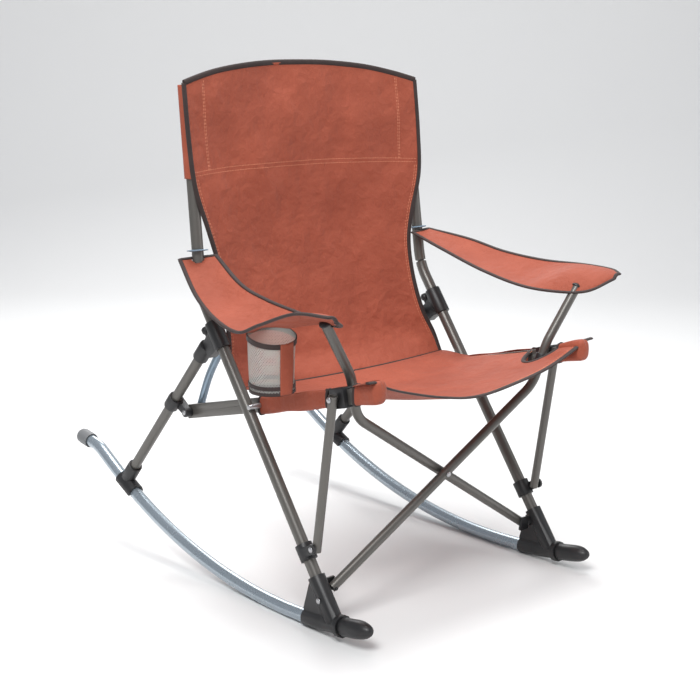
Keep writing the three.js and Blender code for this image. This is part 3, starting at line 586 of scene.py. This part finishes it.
# %% Softened copies of the small hard parts
SLOTS = {sub["node"]: sub["material_slot"] for sub in frame["record"]["subparts"]}
BODIES = {node: name for name, nodes in frame["record"]["behaviour"]["bodies"].items() for node in nodes}
CLOTH_NODES = {"seat_sling", "back_sling", "right_arm_rest", "left_arm_rest", "cup_holder"}
TUBE_ENDINGS = ("rocker_rail", "main_tube", "rear_leg", "strut", "curved_brace", "post_tube")


def soften(node):
    """A copy of a CAD node with merged corners, a bevel on its edges and smooth shading."""
    piece = link(f"{node} softened", frame["nodes"][node].data.copy())
    weld = piece.modifiers.new("weld", "WELD")
    weld.merge_threshold = 1e-5
    bevel = piece.modifiers.new("bevel", "BEVEL")
    bevel.width = 0.0009 if SLOTS[node] != "frame_paint" else 0.0018
    bevel.segments = 3
    bevel.limit_method = "ANGLE"
    bevel.angle_limit = math.radians(42)
    bevel.harden_normals = False
    depsgraph = bpy.context.evaluated_depsgraph_get()
    mesh = bpy.data.meshes.new_from_object(piece.evaluated_get(depsgraph))
    piece.modifiers.clear()
    piece.data = mesh
    mesh.polygons.foreach_set("use_smooth", np.ones(len(mesh.polygons), bool))
    smooth_by_angle(piece, 42)
    return dress(piece, SLOTS[node], BODIES[node], replaces=[node])


hard = [n for n in sorted(frame["nodes"]) if n not in CLOTH_NODES and not n.endswith(TUBE_ENDINGS)]
for node in hard:
    soften(node)
print(len(hard), "mouldings and fixings softened")

# %% [markdown]
# ## Cloth
#
# The cloth hangs tight between tubes, so its shape is mostly set by its edges. A simulation was
# an option, and would wander from those edges; a surface drawn between edge curves keeps them, and
# its slack, folds and crumples are added as waves. The edges that show have a dark folded tape.


# %% Cloth helpers
def ripple(x, y, seed=0.0):
    """Soft, uneven waves: a few sines whose directions and lengths don't share a multiple."""
    total = 0
    for k, (a, b) in enumerate([(13.1, 5.3), (-7.7, 17.9), (23.3, -11.7), (9.1, 31.3), (-34.7, 19.3)]):
        wander = 1.7 * np.sin(b * x * 0.6 - a * y * 0.5)
        total = total + np.sin(a * x + b * y + seed * (k + 1.3) + wander) / (k + 2)
    return total / 1.6


def thicken(piece, depth):
    """Gives a sheet its thickness, evenly to both sides."""
    solid = piece.modifiers.new("thickness", "SOLIDIFY")
    solid.thickness = depth
    solid.offset = 0
    solid.use_rim = True


def tape(name, path, normal, body, wide=0.009, thick=0.0042, closed=False):
    """The dark tape folded over a raw edge."""
    return dress(band(name, path, thick, wide, normal, closed), "binding", body)


def stitches(name, path, body, lift, long=0.0042, gap=0.0022, thick=0.0011):
    """A row of short stitches along a path, each a six-sided bar lifted off the cloth."""
    path = np.asarray(path)
    away = np.concatenate([[0], np.cumsum(np.linalg.norm(np.diff(path, axis=0), axis=1))])
    starts = np.arange(0, away[-1] - long, long + gap)
    ends = [np.stack([np.interp(s, away, path[:, k]) for k in range(3)], -1)
            for s in (starts, starts + long)]
    along = (ends[1] - ends[0]) / long
    lift = np.asarray(lift, float) / np.linalg.norm(lift)
    aside = np.cross(along, lift)
    a = np.linspace(0, 2 * np.pi, 6, endpoint=False)
    ring = np.cos(a)[None, :, None] * aside[:, None] + np.sin(a)[None, :, None] * lift
    points = np.stack([end[:, None] + ring * thick / 2 + lift * thick * 0.4 for end in ends], 1)
    k = np.arange(6)
    wall = np.stack([k, (k + 1) % 6, (k + 1) % 6 + 6, k + 6], -1)
    lids = np.array([[0, 5, 4, 3], [0, 3, 2, 1], [6, 7, 8, 9], [6, 9, 10, 11]])
    one = np.concatenate([wall, lids])
    faces = (one[None] + np.arange(len(starts))[:, None, None] * 12).reshape(-1, 4)
    return dress(link(name, make_mesh(name, points.reshape(-1, 3), faces)), "thread", body)


# %% [markdown]
# ### The back
#
# One sheet from the seat to the head. It is narrow at the waist, where its edges are free, and
# widens to the uprights, where a second panel goes round them and across behind to make the
# pocket that holds them.

# %% The back sheet
BACK_KEYS = [(0.258, 0.128, 0.385), (0.260, 0.150, 0.420), (0.247, 0.172, 0.470), (0.240, 0.193, 0.540),
             (0.243, 0.209, 0.610), (0.258, 0.216, 0.670), (0.281, 0.2205, 0.745), (0.2865, 0.230, 0.830),
             (0.2865, 0.242, 0.930)]
BACK_BOW, POCKET_FOOT, TOP_RISE, JOIN_SAG = 0.030, 0.762, 0.040, 0.008


def back_point(u, v):
    """Between mirrored edge curves: bowed to the rear, its top edge higher in the middle."""
    edge = through(BACK_KEYS, v)
    s = 2 * u - 1
    full = 1 - np.abs(s) ** 2.4
    foot = 1 - ease(v, 0, 0.14)
    z = edge[..., 2] + TOP_RISE * full * ease(v, 0.7, 1) + 0.004 * (1 - full) * ease(v, 0.7, 1)
    z = z - JOIN_SAG * full * foot
    x = s * edge[..., 0]
    crumple = 0.0065 * ease(v, 0.62, 0.78) * ripple(x * 1.6, z * 1.3, 2.0)
    slack = 0.0065 * ripple(x * 0.8, z * 0.6, 5.0)
    slack = slack + 0.004 * np.sin(9 * np.pi * v + 4 * s) * (1 - ease(v, 0, 0.3))
    y = edge[..., 1] + BACK_BOW * full * (1 - foot) + (crumple + slack) * (1 - s**6) * (1 - foot)
    return np.stack([x, y, z], -1) + at(0, 0, 0)


back, back_size, back_area = cloth("back sheet", back_point, 170, 150)
thicken(back, 0.0016)
dress(back, "orange_cloth", "right_frame", replaces=["back_sling"])
v_fine = np.linspace(0, 1, 240)
head_share = float(v_fine[np.argmax(through(BACK_KEYS, v_fine)[:, 2] > POCKET_FOOT)])


def upright_middle(z):
    """The x (as a distance from the middle) and y of the upright at a height."""
    up = (z - UPRIGHT_CORNER) / (UPRIGHT_TOP - UPRIGHT_CORNER)
    return TRACK - TOE_IN * up, leg_y(UPRIGHT_CORNER) + (z - UPRIGHT_CORNER) * math.tan(UPRIGHT_LEAN)


POCKET_ROUND, HEAD_FRONT = 0.0135, -0.0153


def pocket_point(u, v):
    """Round one upright, across behind the back and round the other: u goes along that way."""
    z0 = POCKET_FOOT + (BACK_KEYS[-1][2] - POCKET_FOOT) * v
    x_mid, y_mid = upright_middle(z0)
    turn = np.clip(u / 0.12, 0, 1), np.clip((1 - u) / 0.12, 0, 1)
    s = np.clip((u - 0.12) / 0.76, 0, 1) * 2 - 1
    angle = math.pi * np.where(u < 0.5, turn[0], turn[1])
    across = s * x_mid
    side = np.sign(u - 0.5)
    bulge = np.sin(angle) * POCKET_ROUND
    x = across + side * bulge
    full = 1 - np.abs(s) ** 2.4
    closing = ease(v, 0.9, 1)
    rear = POCKET_ROUND + 0.020 * full + 0.003 * ripple(x * 1.4, z0, 8.0) * full
    front = HEAD_FRONT + BACK_BOW * full
    y = y_mid + np.where(angle >= math.pi, rear, -np.cos(angle) * POCKET_ROUND)
    y = y * (1 - closing) + (y_mid + front) * closing * (angle >= math.pi) + y * closing * (angle < math.pi)
    z = z0 + TOP_RISE * full * v
    return np.stack([x, y, z], -1) + at(0, 0, 0)


pocket, _, pocket_area = cloth("rear pocket panel", pocket_point, 60, 200)
thicken(pocket, 0.0014)
dress(pocket, "orange_cloth", "right_frame")
print("back", [round(s, 3) for s in back_size], round(back_area, 3), "pocket", round(pocket_area, 3))

# %% [markdown]
# Tapes along the raw edges and the two pairs of seams of the head part. The stitches are real
# little bars: drawn ones would be lost against the weave.

# %% The back's tapes and seams
BACK_PIECES = [pocket]
side_v = np.linspace(0, 1, 200)
for side, sign in SIDES.items():
    u = np.full_like(side_v, 0.5 + 0.5 * sign)
    path = back_point(u, side_v)
    BACK_PIECES.append(tape(f"{side} back tape", path, (0, 1, 0), "right_frame", wide=0.010))
u = np.linspace(0, 1, 200)
path = back_point(u, np.ones_like(u))
BACK_PIECES.append(tape("top tape", path, (0, 1, 0), "right_frame", wide=0.011, thick=0.006))
for drop in (0, 0.006):
    row = back_point(np.linspace(0.01, 0.99, 300), np.full(300, head_share + 0.004 + drop * 1.6))
    BACK_PIECES.append(stitches(f"head seam {drop:g}", row, "right_frame", (0, -1, 0.1)))
    for side, sign in SIDES.items():
        v = np.linspace(head_share + 0.012, 0.99, 160)
        row = back_point(np.full_like(v, 0.5 + sign * (0.415 + drop)), v)
        BACK_PIECES.append(stitches(f"{side} head seam {drop:g}", row, "right_frame", (0, -1, 0.1)))
for side, sign in SIDES.items():
    for inset in (0.487, 0.479):
        row = back_point(np.full(200, 0.5 + sign * inset), np.linspace(0.02, head_share, 200))
        BACK_PIECES.append(stitches(f"{side} edge seam {inset:g}", row, "right_frame", (0, -1, 0.1)))
print(len(BACK_PIECES), "pieces go with the back")

# %% [markdown]
# ### The seat
#
# The seat is sewn into sleeves that slide over the two rails in front of the back. Between them it
# sags, and so does its front edge. At each arm post it has a D-shaped opening bound in black.

# %% The seat sheet
RAIL_X, SLEEVE_TOP, SLEEVE_BACK, SEAT_FRONT = 0.255, 0.0155, 0.060, -0.250
SEAT_BACK, FRONT_SAG, FRONT_LIFT = BACK_KEYS[0][1], 0.062, 0.006
HOLE_Y, HOLE_LONG, HOLE_WIDE, HOLE_X = -0.163, 0.036, 0.060, 0.262


def seat_height(x, y):
    """The seat's height: the rails' line less a sag, deepest in the middle of the front edge."""
    s = np.abs(x) / 0.262
    full = np.clip(1 - s**2.2, 0, 1)
    forward = np.clip((SEAT_BACK - y) / (SEAT_BACK - SEAT_FRONT), 0, 1)
    sag = JOIN_SAG + (FRONT_SAG - JOIN_SAG) * forward**0.8
    line = rail_z(y) + SLEEVE_TOP
    back_edge = line + (BACK_KEYS[0][2] - rail_z(SEAT_BACK) - SLEEVE_TOP) * ease(y, 0.03, SEAT_BACK)
    return back_edge + FRONT_LIFT * ease(-y, 0.16, 0.25) - sag * full


def seat_point(u, v):
    """Rows run from the back sheet's foot to the front edge, a little wider at the front."""
    s = 2 * u - 1
    y = SEAT_BACK + (SEAT_FRONT - SEAT_BACK) * v
    half = 0.258 + 0.004 * ease(v, 0.1, 0.3) + 0.018 * ease(v, 0.8, 1)
    x = s * half
    y = y + 0.012 * (1 - s**2) * ease(v, 0.85, 1)
    crumple = 0.0045 * ripple(x, y * 1.5, 3.0) + 0.002 * np.sin(26 * x + 6 * y) * ease(v, 0.75, 1)
    z = seat_height(x, y) + crumple * (1 - s**8) * ease(v, 0, 0.15)
    return np.stack([x, y, z], -1) + at(0, 0, 0)


def outside_holes(middles):
    """True where a face's middle is clear of both arm-post openings."""
    x, y = np.abs(middles[:, 0]), middles[:, 1] - LOW_Y
    return ((x - HOLE_X) / HOLE_WIDE) ** 2 + ((y - HOLE_Y) / HOLE_LONG) ** 2 > 1


seat, seat_size, seat_area = cloth("seat sheet", seat_point, 190, 230, outside_holes)
thicken(seat, 0.0016)
dress(seat, "orange_cloth", "right_seat_rail", replaces=["seat_sling"])
SEAT_PIECES = []
SEAT_PIECES.append(tape("seat front tape", seat_point(np.linspace(0, 1, 200), np.ones(200)), (0, 0, 1),
                        "right_seat_rail", wide=0.010))
SEAT_PIECES.append(tape("seat back tape", seat_point(np.linspace(0, 1, 120), np.zeros(120)), (0, 0, 1),
                        "right_seat_rail", wide=0.006))


def sleeve(name, sign, y_back, y_front, shut):
    """The cloth round a rail: over its outside, under it and up again, sewn shut at its front."""
    def point(u, v):
        """A rounded box round the rail's middle line, its corners set by the power 0.6."""
        y = y_back + (y_front - y_back) * v
        angle = math.pi * (0.5 - (2.0 if shut else 1.55) * u)
        wide = 0.0092 + 0.004 * ease(-y, 0.21, 0.25)
        tall = SLEEVE_TOP + 0.0008 + 0.001 * np.sin(60 * y + 9 * u)
        narrow = np.sqrt(1 - ease(v, 0.80, 1) ** 2) if shut else 1.0
        c, s = np.cos(angle) * narrow, np.sin(angle) * narrow
        x = RAIL_X + wide * np.sign(c) * np.abs(c) ** 0.6
        z = rail_z(y) + tall * np.sign(s) * np.abs(s) ** 0.6
        z = z + FRONT_LIFT * ease(-y, 0.16, 0.25) * np.clip(s, 0, 1)
        return np.stack([sign * x, y, z], -1) + at(0, 0, 0)
    piece, _, _ = cloth(name, point, 90, 40)
    thicken(piece, 0.0016)
    dress(piece, "orange_cloth", "right_seat_rail")
    edges = []
    for v in (0.0,) if shut else (0.0, 1.0):
        edges.append(tape(f"{name} tape {v:g}", point(np.linspace(0, 1, 40), np.full(40, v)), (0, 1, 0),
                          "right_seat_rail", wide=0.006, thick=0.006))
    return [piece, *edges]


for side, sign in SIDES.items():
    for part, span in {"long": (SLEEVE_BACK, HOLE_Y + HOLE_LONG - 0.002, False),
                       "short": (HOLE_Y - HOLE_LONG + 0.002, SEAT_FRONT - 0.010, True)}.items():
        SEAT_PIECES += sleeve(f"{side} {part} sleeve", sign, *span)
    a = np.linspace(0.5 * np.pi, 1.5 * np.pi, 60)
    hole_x = HOLE_X + HOLE_WIDE * np.cos(a)
    hole_y = HOLE_Y + HOLE_LONG * np.sin(a)
    rim = np.stack([sign * hole_x, hole_y, seat_height(hole_x, hole_y)], -1) + at(0, 0, 0)
    SEAT_PIECES.append(tape(f"{side} post opening", rim, (0, 0, 1), "right_seat_rail",
                            wide=0.009, thick=0.006))
    for inset in (0.472, 0.464):
        v = np.linspace(0.22, 0.70, 160)
        row = seat_point(np.full_like(v, 0.5 + sign * inset), v)
        SEAT_PIECES.append(stitches(f"{side} seat seam {inset:g}", row, "right_seat_rail", (0, 0, 1)))
for back_off in (0.975, 0.965):
    row = seat_point(np.linspace(0.02, 0.98, 260), np.full(260, back_off))
    SEAT_PIECES.append(stitches(f"seat front seam {back_off:g}", row, "right_seat_rail", (0, 0, 1)))
print("seat", [round(s, 3) for s in seat_size], round(seat_area, 3), len(SEAT_PIECES), "pieces go with it")

# %% [markdown]
# ### The arms
#
# Each arm is a strip from a disc on the upright to a cap on the bent post. The right one hangs
# lower, because it carries the cup holder, and has a round hole over it.

# %% The arm strips
ARMS = {
    "left": ([(0.250, 0.205, 0.624), (0.256, 0.120, 0.596), (0.262, 0.020, 0.566), (0.268, -0.080, 0.546),
              (0.278, -0.162, 0.543), (0.306, -0.214, 0.547), (0.345, -0.246, 0.570)],
             [(0.303, 0.212, 0.627), (0.330, 0.120, 0.612), (0.352, 0.040, 0.592), (0.366, -0.055, 0.583),
              (0.374, -0.150, 0.584), (0.374, -0.215, 0.582), (0.360, -0.246, 0.578)]),
    "right": ([(0.250, 0.204, 0.622), (0.262, 0.111, 0.580), (0.264, 0.030, 0.562), (0.268, -0.060, 0.553),
               (0.278, -0.140, 0.548), (0.304, -0.210, 0.556), (0.342, -0.246, 0.572)],
              [(0.308, 0.236, 0.616), (0.330, 0.155, 0.562), (0.350, 0.070, 0.534), (0.361, -0.010, 0.524),
               (0.364, -0.075, 0.546), (0.366, -0.170, 0.578), (0.358, -0.246, 0.582)]),
}
CUP_X, CUP_Y, CUP_FOOT, CUP_RIM, CUP_FOOT_R, CUP_RIM_R = 0.322, -0.054, 0.424, 0.522, 0.038, 0.041
ARM_HOLE, UPRIGHT_ROOM = 0.0335, 0.0125


def arm_point(side):
    """The point function of one arm's strip."""
    inner, outer = ARMS[side]
    sign = SIDES[side]

    def point(u, v):
        """Between an inner and an outer edge curve: dished along the rear half, and rounded over
        the post's cap along the front half, where its inner edge hangs down."""
        a, b = through(inner, v), through(outer, v)
        p = a + (b - a) * u[..., None]
        over = ease(v, 0.45, 0.70)
        lift = over * (b[..., 2] - a[..., 2]) * (1 - u - (1 - u) ** 3.5)
        dish = 0.010 * np.sin(np.pi * u) * np.sqrt(np.clip(np.sin(np.pi * v), 0, 1)) * (1 - over)
        crumple = 0.0016 * ripple(p[..., 0] * 2, p[..., 1] * 1.3, 4.0 + sign) * np.sin(np.pi * u)
        p[..., 2] += lift - dish + crumple
        p[..., 0] *= sign
        return p + at(0, 0, 0)
    return point


def outside_holes_of(side):
    """True where a face's middle is clear of the upright and, on the right, of the cup's mouth."""
    x_up, y_up = upright_middle(0.62)
    cut = ARM_HOLE if side == "right" else 0.0

    def clear(middles):
        x, y = np.abs(middles[:, 0]), middles[:, 1] - LOW_Y
        return (np.hypot(x - x_up, y - y_up) > UPRIGHT_ROOM) & (np.hypot(x - CUP_X, y - CUP_Y) > cut)
    return clear


ARM_PIECES = {}
for side, sign in SIDES.items():
    point, body = arm_point(side), f"{side}_arm"
    sheet, size, area = cloth(f"{side} arm strip", point, 180, 70, outside_holes_of(side))
    thicken(sheet, 0.0030)
    dress(sheet, "orange_cloth", body, replaces=[f"{side}_arm_rest"])
    go, come = np.linspace(0, 1, 140), np.linspace(0, 1, 30)
    outline = np.concatenate([point(np.zeros(140), go)[:-1], point(come, np.ones(30))[:-1],
                              point(np.ones(140), go[::-1])[:-1], point(come[::-1], np.zeros(30))[:-1]])
    made = [tape(f"{side} arm tape", outline, (0, 0, 1), body, wide=0.009, thick=0.0055, closed=True)]
    inset = np.linspace(0.10, 0.86, 150)
    for u in (0.10, 0.90):
        made.append(stitches(f"{side} arm seam {u:g}", point(np.full(150, u), inset), body, (0, 0, 1)))
    for v in (0.86, 0.875):
        row = point(np.linspace(0.1, 0.9, 50), np.full(50, v))
        made.append(stitches(f"{side} tip seam {v:g}", row, body, (0, 0, 1)))
    ARM_PIECES[side] = (sheet, size, area, made)
    print(side, "arm", [round(s, 3) for s in size], round(area, 4))

# %% [markdown]
# ### The cup holder
#
# Netting hangs from the underside of the right arm, with a tape at its top, another low down, a
# black foot and an orange strip up its front.


# %% The cup holder
def cup_point(u, v):
    """A round wall, a little wider at the rim, with a wavy side and a slanting top."""
    a = 2 * np.pi * u
    radius = CUP_FOOT_R + (CUP_RIM_R - CUP_FOOT_R) * v + 0.0012 * np.sin(5 * a + 2) * np.sin(np.pi * v)
    z = CUP_FOOT + (CUP_RIM + 0.010 * np.sin(a + 0.3) - CUP_FOOT) * v
    return np.stack([-CUP_X + radius * np.cos(a), CUP_Y + radius * np.sin(a), z], -1) + at(0, 0, 0)


netting, net_size, net_area = cloth("cup netting", cup_point, 40, 120)
dress(netting, "mesh_cloth", "right_arm", replaces=["cup_holder"])
CUP_PIECES = []


def flat_ring(name, low, high, material):
    """A strip of the cup's wall, a little outside the netting."""
    def point(u, v):
        p = cup_point(u, low + (high - low) * v)
        middle = np.array([-CUP_X, CUP_Y, 0]) + at(0, 0, 0)
        away = p - middle
        p[..., :2] += 0.0011 * away[..., :2] / CUP_RIM_R
        return p
    piece, _, _ = cloth(name, point, 6, 120)
    thicken(piece, 0.0018)
    return dress(piece, material, "right_arm")


CUP_PIECES.append(flat_ring("cup top tape", 0.90, 1.0, "binding"))
CUP_PIECES.append(flat_ring("cup low tape", 0.10, 0.17, "binding"))
CUP_PIECES.append(flat_ring("cup foot tape", 0.0, 0.05, "binding"))


def foot_point(u, v):
    """A disc, its distance from the middle growing with v, that sags in the middle."""
    a = 2 * np.pi * u
    radius = (CUP_FOOT_R + 0.0005) * v
    z = np.full_like(a, CUP_FOOT) - 0.003 * (1 - v**2)
    return np.stack([-CUP_X + radius * np.cos(a), CUP_Y + radius * np.sin(a), z], -1) + at(0, 0, 0)


def strip_point(u, v):
    """The orange strip up the front of the cup's wall."""
    p = cup_point(0.70 + 0.10 * u, v)
    middle = np.array([-CUP_X, CUP_Y, 0]) + at(0, 0, 0)
    p[..., :2] += 0.002 * (p - middle)[..., :2] / CUP_RIM_R
    return p


foot, _, _ = cloth("cup foot", foot_point, 12, 80)
thicken(foot, 0.0025)
CUP_PIECES.append(dress(foot, "binding", "right_arm"))
strip, _, _ = cloth("cup strip", strip_point, 30, 12)
thicken(strip, 0.0018)
CUP_PIECES.append(dress(strip, "orange_cloth", "right_arm"))
print("cup netting", [round(s, 3) for s in net_size], round(net_area, 4))

# %% [markdown]
# ## The cloth's thickness made real
#
# The side frames come together when the chair folds, so the cloth between them would fold up like a fan.
# Nothing here shows that: each cloth piece's thickness is turned into real mesh and each piece gets a mesh
# of its own.

bpy.context.view_layer.update()


def set_thickness(pieces):
    """Turns the thickness into real mesh."""
    depsgraph = bpy.context.evaluated_depsgraph_get()
    for piece in pieces:
        if piece.modifiers:
            mesh = bpy.data.meshes.new_from_object(piece.evaluated_get(depsgraph))
            piece.modifiers.clear()
            piece.data = mesh


def gather(pieces):
    """Gives each piece a mesh of its own."""
    for piece in pieces:
        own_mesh(piece)


everything = [back, seat, netting, *BACK_PIECES, *SEAT_PIECES, *CUP_PIECES]
for sheet, _, _, made in ARM_PIECES.values():
    everything += [sheet, *made]
set_thickness(everything)
gather([back, *BACK_PIECES])
gather([seat, *SEAT_PIECES])
for side, (sheet, size, area, made) in ARM_PIECES.items():
    extra = [netting, *CUP_PIECES] if side == "right" else []
    gather([sheet, *made, *extra])

# %% [markdown]
# ## Stage
#
# A pale floor that curves up behind, soft round lights from the upper left and overhead, weak ones
# from the right and from behind, and a camera at the photograph's angle and distance.

# %% Floor, light and camera


def backdrop():
    """A wide floor with a curved back, as one sheet."""
    def point(u, v):
        turn = np.clip((v - 0.5) * 4, 0, 1) * math.pi / 2
        run = np.where(v < 0.5, -6 + 18 * v, 3 + 1.5 * np.sin(turn))
        rise = np.where(v < 0.5, 0, 1.5 * (1 - np.cos(turn))) + np.clip((v - 0.75) * 4, 0, 1) * 7
        wide = (u - 0.5) * 16
        c, s = math.cos(math.radians(-41)), math.sin(math.radians(-41))
        return np.stack([wide * c - run * s, wide * s + run * c, rise], -1)
    floor, _, _ = cloth("backdrop", point, 80, 4)
    material, n, shader, _ = principled("pale paper")
    shader.inputs["Base Color"].default_value = (0.80, 0.80, 0.795, 1)
    shader.inputs["Roughness"].default_value = 0.9
    shader.inputs["Specular IOR Level"].default_value = 0.1
    floor.data.materials.append(material)
    return floor


def panel(name, place, aim, size, watts):
    """A round area light at a place, turned to face its aim."""
    lamp = bpy.data.lights.new(name, "AREA")
    lamp.shape, lamp.size, lamp.energy = "DISK", size, watts
    holder = link(name, lamp)
    holder.location = place
    holder.rotation_euler = (Vector(aim) - Vector(place)).to_track_quat("-Z", "Y").to_euler()
    return holder


AIM = (0, 0, 0.45)
lights = [panel("key", (-2.2, -1.6, 3.3), AIM, 1.8, 110), panel("fill", (2.4, -2.6, 1.6), AIM, 2.6, 22),
          panel("top", (0.3, 0.2, 3.4), AIM, 1.6, 90), panel("rim", (1.6, 2.6, 2.2), AIM, 1.4, 30)]
world = bpy.data.worlds.new("studio")
bpy.context.scene.world = world
world.use_nodes = True
world.node_tree.nodes["Background"].inputs["Color"].default_value = (0.93, 0.95, 1.0, 1)
world.node_tree.nodes["Background"].inputs["Strength"].default_value = 0.45

CAMERA_AT, AZIMUTH, ELEVATION = Vector((-1.7213, -2.0707, 0.9775)), -40.98, 11.93
lens = bpy.data.cameras.new("camera")
lens.lens, lens.sensor_width = 71.1, 36.0
camera = link("camera", lens)
camera.location = CAMERA_AT
camera.rotation_euler = (math.radians(90 - ELEVATION), 0, math.radians(AZIMUTH))
bpy.context.scene.camera = camera
backdrop()
bpy.context.scene.view_settings.view_transform = "Standard"
